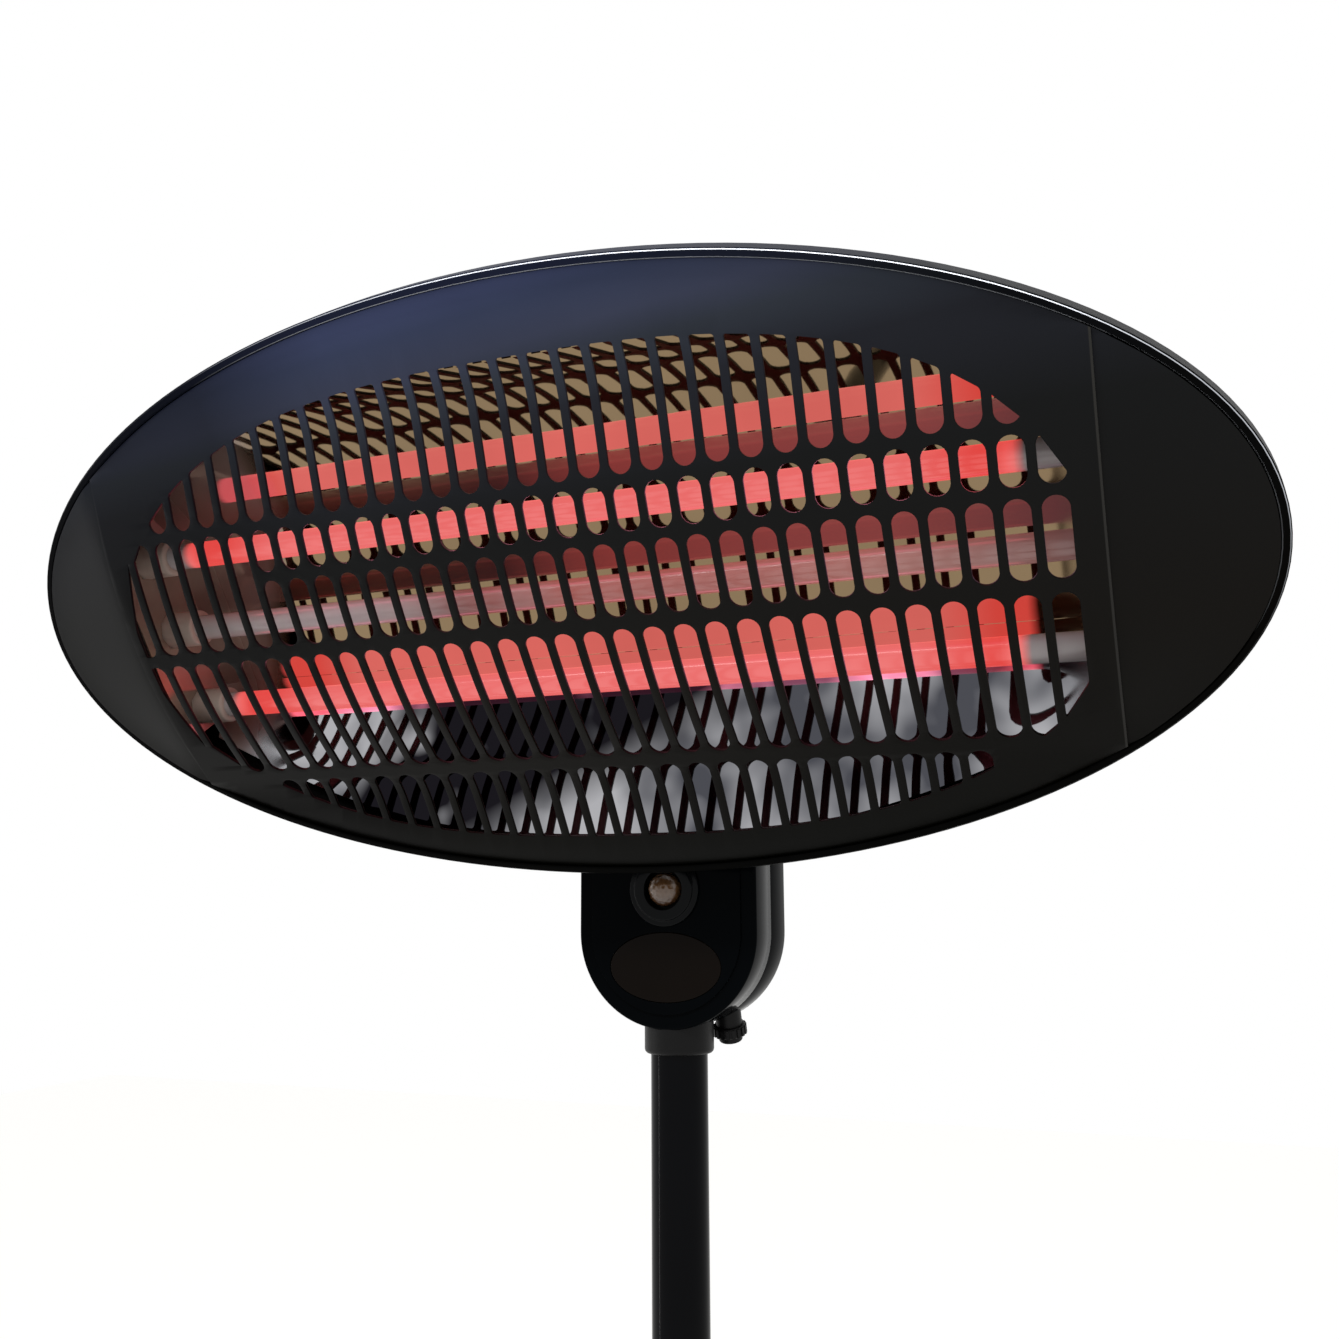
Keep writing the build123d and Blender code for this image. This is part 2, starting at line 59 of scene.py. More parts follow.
def placeCamera():
    yaw, pitch, roll = (math.radians(cameraView[k]) for k in ("yaw", "pitch", "roll"))
    ahead = Vector((-math.sin(yaw) * math.cos(pitch), math.cos(yaw) * math.cos(pitch), math.sin(pitch)))
    across = Vector((math.cos(yaw), math.sin(yaw), 0))
    up = across.cross(ahead)
    right = across * math.cos(roll) + up * math.sin(roll)
    up = right.cross(ahead)
    data = bpy.data.cameras.new("photoView")
    data.lens = cameraView["lens"]
    data.sensor_width = cameraView["sensor"]
    data.clip_start = 0.02
    data.clip_end = 60
    camera = bpy.data.objects.new("photoView", data)
    place = Matrix((right, up, -ahead)).transposed().to_4x4()
    place.translation = Vector(cameraView["spot"])
    camera.matrix_world = place
    bpy.context.scene.collection.objects.link(camera)
    bpy.context.scene.camera = camera


# ways to write shader nodes


class Nodes:
    # a node tree; the values it takes are outputs of other nodes, or plain ones
    def __init__(self, tree):
        self.tree = tree

    def add(self, kind, **settings):
        node = self.tree.nodes.new(kind)
        for label, value in settings.items():
            setattr(node, label, value)
        return node

    def feed(self, socket, value):
        if isinstance(value, bpy.types.NodeSocket):
            self.tree.links.new(value, socket)
        else:
            socket.default_value = value

    def calc(self, operation, *values, **settings):
        node = self.add("ShaderNodeMath", operation=operation, **settings)
        for socket, value in zip(node.inputs, values):
            self.feed(socket, value)
        return node.outputs[0]

    def times(self, first, *others):
        for other in others:
            first = self.calc("MULTIPLY", first, other)
        return first

    def pattern(self, kind, scale, detail=None, stretch=None, **settings):
        # noise or cells at the piece's own place
        node = self.add("ShaderNodeTex" + kind, **settings)
        where = self.add("ShaderNodeTexCoord").outputs["Object"]
        if stretch:
            mapping = self.add("ShaderNodeMapping")
            mapping.inputs["Scale"].default_value = stretch
            self.feed(mapping.inputs["Vector"], where)
            where = mapping.outputs["Vector"]
        self.feed(node.inputs["Vector"], where)
        self.feed(node.inputs["Scale"], scale)
        if detail is not None:
            node.inputs["Detail"].default_value = detail
        return node.outputs[0]

    def mapped(self, value, low=0.0, high=1.0, toLow=0.0, toHigh=1.0):
        node = self.add("ShaderNodeMapRange")
        labels = ("Value", "From Min", "From Max", "To Min", "To Max")
        for label, number in zip(labels, (value, low, high, toLow, toHigh)):
            self.feed(node.inputs[label], number)
        return node.outputs["Result"]


def newGroup(name, numbers, result):
    # a shader group with named numbers in and one number out
    tree = bpy.data.node_groups.new(name, "ShaderNodeTree")
    for label, value in numbers.items():
        socket = tree.interface.new_socket(label, in_out="INPUT", socket_type="NodeSocketFloat")
        socket.default_value = value
    tree.interface.new_socket(result, in_out="OUTPUT", socket_type="NodeSocketFloat")
    given, out = tree.nodes.new("NodeGroupInput"), tree.nodes.new("NodeGroupOutput")
    return Nodes(tree), given.outputs, out.inputs[result]


def makeCloudGroup():
    # wide soft patches, from 0 to 1
    made, given, mask = newGroup("softPatches", {"Size": 0.1, "Contrast": 1.0}, "Mask")
    noise = made.pattern("Noise", made.calc("DIVIDE", 1.0, given["Size"]), detail=3.0)
    centred = made.calc("SUBTRACT", noise, 0.5)
    made.feed(mask, made.calc("MULTIPLY_ADD", centred, given["Contrast"], 0.5, use_clamp=True))
    return made.tree


def makeGrainGroup():
    # fine height of paint or moulded grain: small noise with pits
    made, given, height = newGroup("fineGrain", {"Size": 0.001, "Pits": 0.3}, "Height")
    scale = made.calc("DIVIDE", 1.0, given["Size"])
    pits = made.times(made.pattern("Voronoi", scale, feature="SMOOTH_F1"), given["Pits"])
    made.feed(height, made.calc("ADD", made.pattern("Noise", scale, detail=2.0), pits))
    return made.tree


softPatches = makeCloudGroup()
fineGrain = makeGrainGroup()

socketNames = {
    "metal": "Metallic",
    "shine": "Specular IOR Level",
    "coat": "Coat Weight",
    "coatRough": "Coat Roughness",
    "glow": "Emission Strength",
    "rough": "Roughness",
}


class Finish(Nodes):
    # a material under construction
    def __init__(self, name, **plain):
        self.look = bpy.data.materials.new(name)
        self.look.use_nodes = True
        super().__init__(self.look.node_tree)
        self.shader = self.tree.nodes["Principled BSDF"]
        for label, value in plain.items():
            self.shader.inputs[socketNames[label]].default_value = value

    def group(self, tree, **values):
        node = self.add("ShaderNodeGroup", node_tree=tree)
        for label, value in values.items():
            node.inputs[label].default_value = value
        return node.outputs[0]

    def towards(self, direction, what="Object"):
        # how far the place, or the surface's own normal, goes along a direction
        node = self.add("ShaderNodeVectorMath", operation="DOT_PRODUCT")
        self.feed(node.inputs[0], self.add("ShaderNodeTexCoord").outputs[what])
        node.inputs[1].default_value = direction
        return node.outputs["Value"]

    def along(self, direction, low, high):
        # 0 to 1 from low to high along a direction
        return self.mapped(self.towards(direction), low, high)

    def scaled(self, colour, factor):
        node = self.add("ShaderNodeVectorMath", operation="SCALE")
        self.feed(node.inputs[0], colour)
        self.feed(node.inputs["Scale"], factor)
        return node.outputs["Vector"]

    def mix(self, factor, first, second):
        # colours, or other colour outputs, blended by a mask
        node = self.add("ShaderNodeMix", data_type="RGBA")
        self.feed(node.inputs["Factor"], factor)
        for label, colour in (("A", first), ("B", second)):
            socket = [s for s in node.inputs if s.name == label and s.type == "RGBA"][0]
            self.feed(socket, colour if isinstance(colour, bpy.types.NodeSocket) else (*colour, 1))
        return [s for s in node.outputs if s.type == "RGBA"][0]

    def ramp(self, factor, stops):
        node = self.add("ShaderNodeValToRGB")
        while len(node.color_ramp.elements) < len(stops):
            node.color_ramp.elements.new(0.5)
        for element, (place, colour) in zip(node.color_ramp.elements, stops):
            element.position = place
            element.color = (*colour, 1)
        self.feed(node.inputs["Fac"], factor)
        return node.outputs["Color"]

    def set(self, label, value):
        self.feed(self.shader.inputs[label], value)

    def roughness(self, factor, low, high):
        self.set("Roughness", self.mapped(factor, toLow=low, toHigh=high))

    def bump(self, height, depth, strength=1.0):
        node = self.add("ShaderNodeBump")
        node.inputs["Distance"].default_value = depth
        node.inputs["Strength"].default_value = strength
        self.feed(node.inputs["Height"], height)
        self.set("Normal", node.outputs["Normal"])


def meshObject(name, bm, look):
    mesh = bpy.data.meshes.new(name)
    bm.to_mesh(mesh)
    bm.free()
    mesh.materials.append(look)
    thing = bpy.data.objects.new(name, mesh)
    bpy.context.scene.collection.objects.link(thing)
    return thing


# light and floor

studio = {
    "fill": 0.62,             # plain light from all round
    "fillColour": (1.0, 0.99, 0.97, 1),
    "aim": (0, 0, 1.4),
    # each lamp's place, power and size: a long strip over the heater, an upright strip on the left
    "keyLamp": ((0.1, -2.3, 4.1), 62, (4.4, 0.55)),
    "sideLamp": ((-2.6, -0.9, 1.5), 5.5, (0.06, 2.4)),
    "floorSize": 9.0,
    "floorColour": (0.86, 0.86, 0.85, 1),
    "floorLift": 0.45,
}


def addLamp(name):
    spot, power, size = studio[name]
    data = bpy.data.lights.new(name, "AREA")
    data.energy = power
    data.shape = "RECTANGLE"
    data.size, data.size_y = size
    lamp = bpy.data.objects.new(name, data)
    lamp.location = spot
    lamp.rotation_mode = "QUATERNION"
    lamp.rotation_quaternion = (Vector(spot) - Vector(studio["aim"])).to_track_quat("Z", "Y")
    bpy.context.scene.collection.objects.link(lamp)


def seenRays(made):
    # 1 for the rays of the camera, of mirrors and of glass
    rays = made.add("ShaderNodeLightPath").outputs
    seen = made.calc("MAXIMUM", rays["Is Camera Ray"], rays["Is Glossy Ray"])
    return made.calc("MAXIMUM", seen, rays["Is Transmission Ray"])


def lightStudio():
    world = bpy.data.worlds.new("studio")
    bpy.context.scene.world = world
    world.use_nodes = True
    made = Nodes(world.node_tree)
    fill = made.tree.nodes["Background"]
    white = made.add("ShaderNodeBackground")
    for node, colour, strength in ((fill, studio["fillColour"], studio["fill"]), (white, (1, 1, 1, 1), 1.0)):
        node.inputs["Color"].default_value = colour
        node.inputs["Strength"].default_value = strength
    mix = made.add("ShaderNodeMixShader")
    for socket, source in zip(mix.inputs, (seenRays(made), fill.outputs[0], white.outputs[0])):
        made.feed(socket, source)
    made.feed(made.tree.nodes["World Output"].inputs["Surface"], mix.outputs[0])
    addLamp("keyLamp")
    addLamp("sideLamp")


def layFloor():
    bm = bmesh.new()
    bmesh.ops.create_grid(bm, x_segments=1, y_segments=1, size=studio["floorSize"])
    made = Finish("studioFloor", rough=0.9, shine=0.1)
    made.set("Base Color", studio["floorColour"])
    made.set("Emission Color", (1, 1, 1, 1))
    # what the camera and the mirrors see is lifted to white
    made.set("Emission Strength", made.times(seenRays(made), studio["floorLift"]))
    meshObject("studioFloor", bm, made.look)


placeCamera()
lightStudio()
layFloor()
print("camera and studio ready")

# materials; a direction with two numbers is where a mask begins and ends along that direction

facing = (0, -0.8241, -0.5664)     # out of the heater's face


def plainFinish(name, dark, light, rough, patch=0.08, grain=0.0008, depth=0.00002, **plain):
    # two close colours in soft patches, uneven roughness and a fine grain
    made = Finish(name, **plain)
    clouds = made.group(softPatches, Size=patch, Contrast=2.2)
    made.set("Base Color", made.mix(clouds, dark, light))
    made.roughness(clouds, *rough)
    made.bump(made.group(fineGrain, Size=grain, Pits=0.4), depth)
    return made.look


# paint of the head with painted light: a lighter navy painted reflection at the top left, painted shade in brown
# black below on the right
enamelLook = {
    "up": ((-0.08, 0, 1), 1.65, 1.87),
    "tones": (
        (0.0, (0.0012, 0.0014, 0.0009)),
        (0.30, (0.0044, 0.0034, 0.0023)),
        (0.60, (0.0065, 0.0070, 0.0075)),
        (0.745, (0.0155, 0.0170, 0.0240)),
        (0.81, (0.0340, 0.0410, 0.0580)),
        (0.85, (0.0500, 0.0590, 0.1050)),
        (0.90, (0.0420, 0.0550, 0.1130)),
        (0.93, (0.0540, 0.0690, 0.1550)),
    ),
    "leftShadeMask": ((-1, 0, 0), 0.072, 0.135),
    "leftShade": 0.34,      # painted shade: the paint darkens to the left end
    "uneven": (0.82, 1.12),
    "patch": 0.12,
    "rough": (0.36, 0.44),
    "grain": 0.0009,
    "depth": 0.000018,
    "shine": 0.07,
    "inner": (0.110, 0.055, 0.055),      # the side that faces the tubes is a dull red
    "lapHighlight": ((1, 0, 0), 0.1994, 0.1997),      # painted highlight along the cut edge over the right end cap
    # colour of the painted highlight line
    "lap": (0.030, 0.029, 0.027),
}

# the housing's rolled rim: its front is black, and its top edges carry a painted highlight where light meets them
rimLook = {
    "front": (facing, -0.9044, -0.9040),
    "edge": (facing, -0.89525, -0.89520),
    "crest": (facing, -0.89491, -0.89496),
    "lit": ((0.30, 0, 1), 1.800, 1.850),
    "shade": 0.25,          # the rim and the dish are darker than the front panel
    "dishShade": 0.40,
    # colour of the painted highlight on the rim's top edges
    "rimHighlight": (0.52, 0.54, 0.58),
}


def darkEnamel(name, rolledRim=False, redInsideAndLapHighlight=False, shine=enamelLook["shine"]):
    made = Finish(name, shine=shine)
    # painted reflection and shade: the paint gets lighter and navy towards the top, brown black lower down
    tone = made.ramp(made.along(*enamelLook["up"]), enamelLook["tones"])
    clouds = made.group(softPatches, Size=enamelLook["patch"], Contrast=1.6)
    low, high = enamelLook["uneven"]
    # painted shade towards the left end
    leftShadeMask = made.mapped(made.along(*enamelLook["leftShadeMask"]), toLow=1.0, toHigh=enamelLook["leftShade"])
    paint = made.scaled(tone, made.times(made.mapped(clouds, toLow=low, toHigh=high), leftShadeMask))
    if rolledRim:
        front, edge, crest, lit = (made.along(*rimLook[k]) for k in ("front", "edge", "crest", "lit"))
        # a painted highlight along the rim's top edges, made bright and metallic
        line = made.times(edge, crest, lit)
        behind = made.scaled(paint, rimLook["dishShade"])
        paint = made.mix(front, behind, made.scaled(paint, rimLook["shade"]))
        paint = made.mix(line, paint, rimLook["rimHighlight"])
        made.set("Metallic", line)
    elif redInsideAndLapHighlight:
        inward = made.towards([-part for part in facing], "Normal")
        # a painted highlight along the cut edge over the right end cap
        paint = made.mix(made.along(*enamelLook["lapHighlight"]), paint, enamelLook["lap"])
        paint = made.mix(inward, paint, enamelLook["inner"])
    made.set("Base Color", paint)
    made.roughness(clouds, *enamelLook["rough"])
    made.bump(made.group(fineGrain, Size=enamelLook["grain"], Pits=0.5), enamelLook["depth"])
    return made.look


# folded mirror sheet with painted reflections: straw where it looks down, silver where it looks up
mirrorLook = {
    "straw": (0.235, 0.167, 0.095),
    "strawDull": (0.185, 0.128, 0.072),
    "silver": (0.42, 0.42, 0.44),
    # colour of painted dark reflections on the silver
    "darkReflection": (0.070, 0.072, 0.085),
    "upper": ((0, 0, 1), 1.7335, 1.7375),      # the fold where the lower wing begins
    # the corners drawn up to the dish are tan and less metallic
    "corner": (0.30, 0.23, 0.20),
    "drawnCorner": ((-1, 0, 0.52), 1.077, 1.091),      # drawn up to the dish, further in above than below
    "cornerMetal": 0.4,
    "drawnLeft": ((-1, 0, 0), 0.172, 0.194),
    "drawnRight": ((1, 0, 0), 0.178, 0.192),
    "rough": (0.03, 0.34),
    # painted dark reflection in the middle of the lower wing, with silver breaking through it
    "shadow": (0.010, 0.009, 0.012),
    "shadowLeft": ((1, 0, -0.72), -1.362, -1.348),
    "shadowRight": ((1, 0, -2.2), -3.716, -3.766),
    "shadowCloud": 16.0,
    "shadowPatchy": (0.36, 0.46),
}


def brightReflector():
    made = Finish("brightReflector", metal=1.0)
    upper, drawnCorner, drawnLeft, drawnRight, shadowLeft, shadowRight = (
        made.along(*mirrorLook[k])
        for k in ("upper", "drawnCorner", "drawnLeft", "drawnRight", "shadowLeft", "shadowRight"))
    clouds = made.group(softPatches, Size=0.09, Contrast=2.0)
    # painted reflections: straw on the parts that look down, silver on the lower wing
    straw = made.mix(clouds, mirrorLook["strawDull"], mirrorLook["straw"])
    # painted dark reflections in patches over the silver
    darkReflectionPatches = made.group(softPatches, Size=0.06, Contrast=5.0)
    silver = made.mix(darkReflectionPatches, mirrorLook["silver"], mirrorLook["darkReflection"])
    cloud = made.pattern("Noise", mirrorLook["shadowCloud"], detail=3.0)
    patchy = made.mapped(cloud, *mirrorLook["shadowPatchy"])
    # painted dark reflection over the middle of the lower wing
    lower = made.mix(made.times(shadowLeft, shadowRight, patchy), silver, mirrorLook["shadow"])
    made.set("Base Color", made.mix(drawnCorner, made.mix(upper, lower, straw), mirrorLook["corner"]))
    made.set("Metallic", made.mapped(drawnCorner, toLow=1.0, toHigh=mirrorLook["cornerMetal"]))
    made.roughness(made.calc("MAXIMUM", drawnLeft, drawnRight), *mirrorLook["rough"])
    made.bump(made.group(softPatches, Size=0.05, Contrast=1.0), depth=0.0004, strength=0.25)
    return made.look


def endMirror():
    made = Finish("endMirror", metal=0.6)
    clouds = made.group(softPatches, Size=0.03, Contrast=2.5)
    made.set("Base Color", made.mix(clouds, (0.42, 0.33, 0.27), (0.60, 0.50, 0.42)))
    made.roughness(clouds, low=0.10, high=0.22)
    made.bump(made.group(softPatches, Size=0.02, Contrast=1.0), depth=0.0005, strength=0.4)
    return made.look


# milky quartz: salmon where the coil heats it, red at the coil's ends, grey where cold
salmon, red, cold = (0.905, 0.155, 0.150), (0.860, 0.070, 0.062), (0.0, 0.0, 0.0)
milk, dim = (0.56, 0.51, 0.52), (0.06, 0.03, 0.03)
quartz = {
    "reach": {"upper": (-0.182, 0.175), "middle": (-0.196, 0.196), "lower": (-0.186, 0.170)},
    "lit": {
        "glow": ((0.0, cold), (0.012, red), (0.060, red), (0.13, salmon), (0.88, salmon), (0.955, red),
                 (0.988, red), (1.0, cold)),
        "body": ((0.0, milk), (0.03, dim), (0.97, dim), (1.0, milk)),
        "strength": 0.88,
        "mirrored": (3.9, 6.2, 9.6),    # painted reflection: the mirrors see the glow this much brighter
        "milkiness": 0.0,
    },
    # the unlit tube has a painted glow and painted reddish light from the lit tubes beside it
    "unlit": {
        "glow": ((0.0, cold), (0.36, (0.02, 0.01, 0.01)), (0.50, (0.16, 0.035, 0.03)),
                 (0.80, (0.18, 0.05, 0.045)), (1.0, (0.06, 0.03, 0.03))),
        "body": ((0.0, (0.55, 0.48, 0.47)), (0.20, (0.74, 0.60, 0.63)), (0.28, (0.64, 0.48, 0.49)),
                 (0.37, (0.40, 0.125, 0.115)), (0.68, (0.38, 0.13, 0.11)), (0.86, (0.42, 0.26, 0.23)),
                 (1.0, (0.28, 0.14, 0.12))),
        "strength": 1.0,
        "mirrored": (5.8, 6.4, 12.5),
        "milkiness": 0.35,
    },
}


def quartzLook(row):
    kind = quartz["unlit" if row == "middle" else "lit"]
    made = Finish("quartz_" + row, shine=0.5, glow=kind["strength"])
    share = made.along((1, 0, 0), *quartz["reach"][row])
    clouds = made.group(softPatches, Size=0.025, Contrast=1.8)
    body = made.ramp(share, kind["body"])
    if kind["milkiness"]:
        body = made.mix(made.mapped(clouds, toHigh=kind["milkiness"]), body, milk)
    made.set("Base Color", body)
    glow = made.ramp(share, kind["glow"])
    # painted reflection: the glow is brighter where mirrors see it
    brighter = made.add("ShaderNodeVectorMath", operation="MULTIPLY")
    made.feed(brighter.inputs[0], glow)
    brighter.inputs[1].default_value = kind["mirrored"]
    mirrors = made.add("ShaderNodeLightPath").outputs["Is Glossy Ray"]
    made.set("Emission Color", made.mix(mirrors, glow, brighter.outputs["Vector"]))
    made.roughness(clouds, low=0.12, high=0.24)
    made.bump(made.group(softPatches, Size=0.008, Contrast=1.0), depth=0.00008)
    return made.look


def glossBlack(name, rough=(0.07, 0.12), shine=0.045, tint=(0.0010, 0.0014, 0.0018), lighter=1.7):
    light = tuple(part * lighter for part in tint)
    return plainFinish(name, tint, light, rough, grain=0.0035, depth=0.000012, shine=shine)


amber = {
    "height": ((0, 0, 1), 1.6385, 1.6530),
    "tones": ((0.0, (0.050, 0.022, 0.010)), (0.5, (0.13, 0.062, 0.024)), (1.0, (0.06, 0.03, 0.016))),
    "facets": 420.0,
}


def amberLens():
    made = Finish("amberLens", shine=0.5, coat=0.6, coatRough=0.05)
    made.set("Base Color", made.ramp(made.along(*amber["height"]), amber["tones"]))
    cells = made.pattern("Voronoi", amber["facets"])
    made.bump(cells, depth=0.0005, strength=0.8)
    made.roughness(cells, low=0.12, high=0.3)
    return made.look


def brushedSteel(name, dark, light, rough):
    made = Finish(name, metal=1.0)
    streaks = made.pattern("Noise", 1.0, stretch=(60, 1800, 1800))
    made.set("Base Color", made.mix(streaks, dark, light))
    made.roughness(streaks, *rough)
    made.bump(streaks, depth=0.00001)
    return made.look


looks = {
    "dark_enamel": darkEnamel("darkEnamel"),
    "gloss_black_steel": glossBlack("glossBlackSteel", shine=0.06, tint=(0.0008, 0.0009, 0.0014)),
    "weight_steel": plainFinish("weightSteel", (0.010, 0.010, 0.011), (0.022, 0.021, 0.020), (0.42, 0.58),
                                grain=0.0025, depth=0.00008, shine=0.35),
    "black_moulding": plainFinish("blackMoulding", (0.0030, 0.0030, 0.0034), (0.0055, 0.0055, 0.0056),
                                  (0.34, 0.46), grain=0.0007, depth=0.00003, shine=0.12),
    "gloss_black_housing": glossBlack("glossBlackHousing", shine=0.012),
    "smoked_window": glossBlack("smokedWindow", tint=(0.0034, 0.0021, 0.0014)),
    "black_rubber": plainFinish("blackRubber", (0.012, 0.012, 0.012), (0.022, 0.021, 0.020), (0.62, 0.8),
                                grain=0.0012, depth=0.00005, shine=0.3),
    "nylon": plainFinish("nylon", (0.012, 0.012, 0.013), (0.03, 0.03, 0.03), (0.35, 0.5), shine=0.4),
    "zinc_steel": brushedSteel("zincSteel", (0.42, 0.43, 0.44), (0.62, 0.62, 0.61), (0.26, 0.42)),
    "bracket_steel": plainFinish("bracketSteel", (0.010, 0.010, 0.011), (0.020, 0.020, 0.021), (0.34, 0.46),
                                 grain=0.001, depth=0.00002, shine=0.3),
    "bright_reflector": brightReflector(),
    "milky_quartz": quartzLook("middle"),
    "glowing_coil": plainFinish("glowingCoil", (0.30, 0.06, 0.03), (0.45, 0.10, 0.05), (0.5, 0.6)),
    "cold_coil": plainFinish("coldCoil", (0.12, 0.11, 0.10), (0.20, 0.18, 0.17), (0.4, 0.5), metal=0.8),
    "ceramic": plainFinish("ceramic", (0.52, 0.41, 0.35), (0.66, 0.55, 0.48), (0.55, 0.72),
                           patch=0.02, grain=0.0016, depth=0.00006, shine=0.35),
    "lens_trim": glossBlack("lensTrim", rough=(0.14, 0.22), shine=0.08),
    "amber_lens": amberLens(),
    "circuit_board": plainFinish("circuitBoard", (0.02, 0.09, 0.04), (0.03, 0.13, 0.06), (0.4, 0.5)),
    "matte_black": plainFinish("matteBlack", (0.010, 0.010, 0.010), (0.018, 0.018, 0.018), (0.6, 0.75)),
}
quartzLooks = {"upper": quartzLook("upper"), "middle": looks["milky_quartz"], "lower": quartzLook("lower")}
endMirrorLook = endMirror()
housingLook = darkEnamel("housingEnamel", rolledRim=True, shine=0.02)
panelLook = darkEnamel("panelEnamel", redInsideAndLapHighlight=True)
print("materials ready for", len(looks), "slots")

# ways to shape a mesh


def startOutline(bm, corners, place=None):
    # an outline through corners (x, y, softness, segments), each rounded by its softness, as one face
    older = set(bm.faces)
    verts = [bm.verts.new((corner[0], corner[1], 0)) for corner in corners]
    bm.faces.new(verts)
    for vert, corner in zip(verts, corners):
        if len(corner) > 2 and corner[2] > 0:
            steps = corner[3] if len(corner) > 3 else 6
            bmesh.ops.bevel(bm, geom=[vert], offset=corner[2], offset_type="OFFSET", segments=steps,
                            profile=0.5, affect="VERTICES", material=-1)
    mine = dict.fromkeys(v for f in bm.faces if f not in older for v in f.verts)
    bmesh.ops.remove_doubles(bm, verts=list(mine), dist=2e-5)
    face = [f for f in bm.faces if f not in older][0]
    if place is not None:
        bmesh.ops.transform(bm, matrix=place, verts=list(face.verts))
    return face


def dropFaces(bm, faces):
    bmesh.ops.delete(bm, geom=faces, context="FACES_ONLY")


def outlineEdges(bm, corners, place=None):
    # the same outline as edges alone
    face = startOutline(bm, corners, place)
    edges = list(face.edges)
    dropFaces(bm, [face])
    return edges


def boxCorners(halfX, halfY, *softness, centre=(0.0, 0.0)):
    x, y = centre
    return [(x + i * halfX, y + j * halfY, *softness) for i, j in ((1, 1), (-1, 1), (-1, -1), (1, -1))]


def onCircle(radius, angle):
    return radius * math.cos(angle), radius * math.sin(angle)


def ovalLoop(bm, count, a, b, height=0.0, centre=(0.0, 0.0), first=0.0):
    # an oval outline of edges; first turns its first corner off the X axis
    made = bmesh.ops.create_circle(bm, cap_ends=False, segments=count, radius=1.0)
    place = at(*centre, height) @ Matrix.Diagonal((a, b, 1, 1)) @ Matrix.Rotation(first, 4, "Z")
    bmesh.ops.transform(bm, matrix=place, verts=made["verts"])
    return made["verts"]


def ovalSheet(count, a, b, centre=(0.0, 0.0)):
    bm = bmesh.new()
    ovalLoop(bm, count, a, b, 0.0, centre)
    bmesh.ops.edgenet_fill(bm, edges=bm.edges[:])
    return bm


def vertsIn(geom):
    return [g for g in geom if isinstance(g, bmesh.types.BMVert)]


def edgesOf(verts):
    # each edge between two of the corners once, always in the same order
    chosen = set(verts)
    return list(dict.fromkeys(e for v in verts for e in v.link_edges if e.other_vert(v) in chosen))


def fillFlat(bm, edges):
    bmesh.ops.triangle_fill(bm, use_beauty=True, edges=edges, normal=(0, 0, 1))


def faceOut(bm):
    bmesh.ops.recalc_face_normals(bm, faces=bm.faces)


holeCount = 64      # corners of a round hole


def slab(corners, depth, holes=()):
    # a plate through an outline, built up +Z, with oval holes (a, b, x, y)
    bm = bmesh.new()
    face = startOutline(bm, corners)
    if holes:
        dropFaces(bm, [face])
        for a, b, x, y in holes:
            ovalLoop(bm, holeCount, a, b, 0.0, (x, y))
        fillFlat(bm, bm.edges[:])
    return thicken(bm, depth)


def thicken(bm, depth):
    # a flat sheet made a plate, from its own height up to depth above it
    made = bmesh.ops.extrude_face_region(bm, geom=bm.faces[:], use_keep_orig=True)
    bmesh.ops.translate(bm, vec=(0, 0, depth), verts=vertsIn(made["geom"]))
    faceOut(bm)
    return bm


def drawOut(bm, edges, height, close=True):
    # walls from edges, up or down by a height, closed at their far end
    verts = vertsIn(bmesh.ops.extrude_edge_only(bm, edges=edges)["geom"])
    bmesh.ops.translate(bm, vec=(0, 0, height), verts=verts)
    if close:
        bmesh.ops.edgenet_fill(bm, edges=edgesOf(verts))
        faceOut(bm)


sharpTurn = math.radians(60)      # edges that turn by more than this are rounded


def soften(bm, width, segments=3, keep=None):
    edges = [e for e in bm.edges if e.is_manifold and e.calc_face_angle(0) > sharpTurn]
    if keep is not None:
        edges = [e for e in edges if keep(e)]
    bmesh.ops.bevel(bm, geom=edges, offset=width, offset_type="OFFSET", segments=segments, profile=0.5,
                    affect="EDGES", clamp_overlap=True, material=-1)
    return bm


def atHeight(height):
    return lambda edge: all(abs(v.co.z - height) < 1e-5 for v in edge.verts)


def openCap(bm, height, outlines):
    # a flat end filled again round holes; each outline is a list of corners as in startOutline
    cap = [f for f in bm.faces if all(abs(v.co.z - height) < 1e-6 for v in f.verts)]
    edges = list(dict.fromkeys(e for f in cap for e in f.edges if sum(g in cap for g in e.link_faces) == 1))
    dropFaces(bm, cap)
    rims = [outlineEdges(bm, corners, at(0, 0, height)) for corners in outlines]
    fillFlat(bm, edges + [e for rim in rims for e in rim])
    faceOut(bm)
    return rims


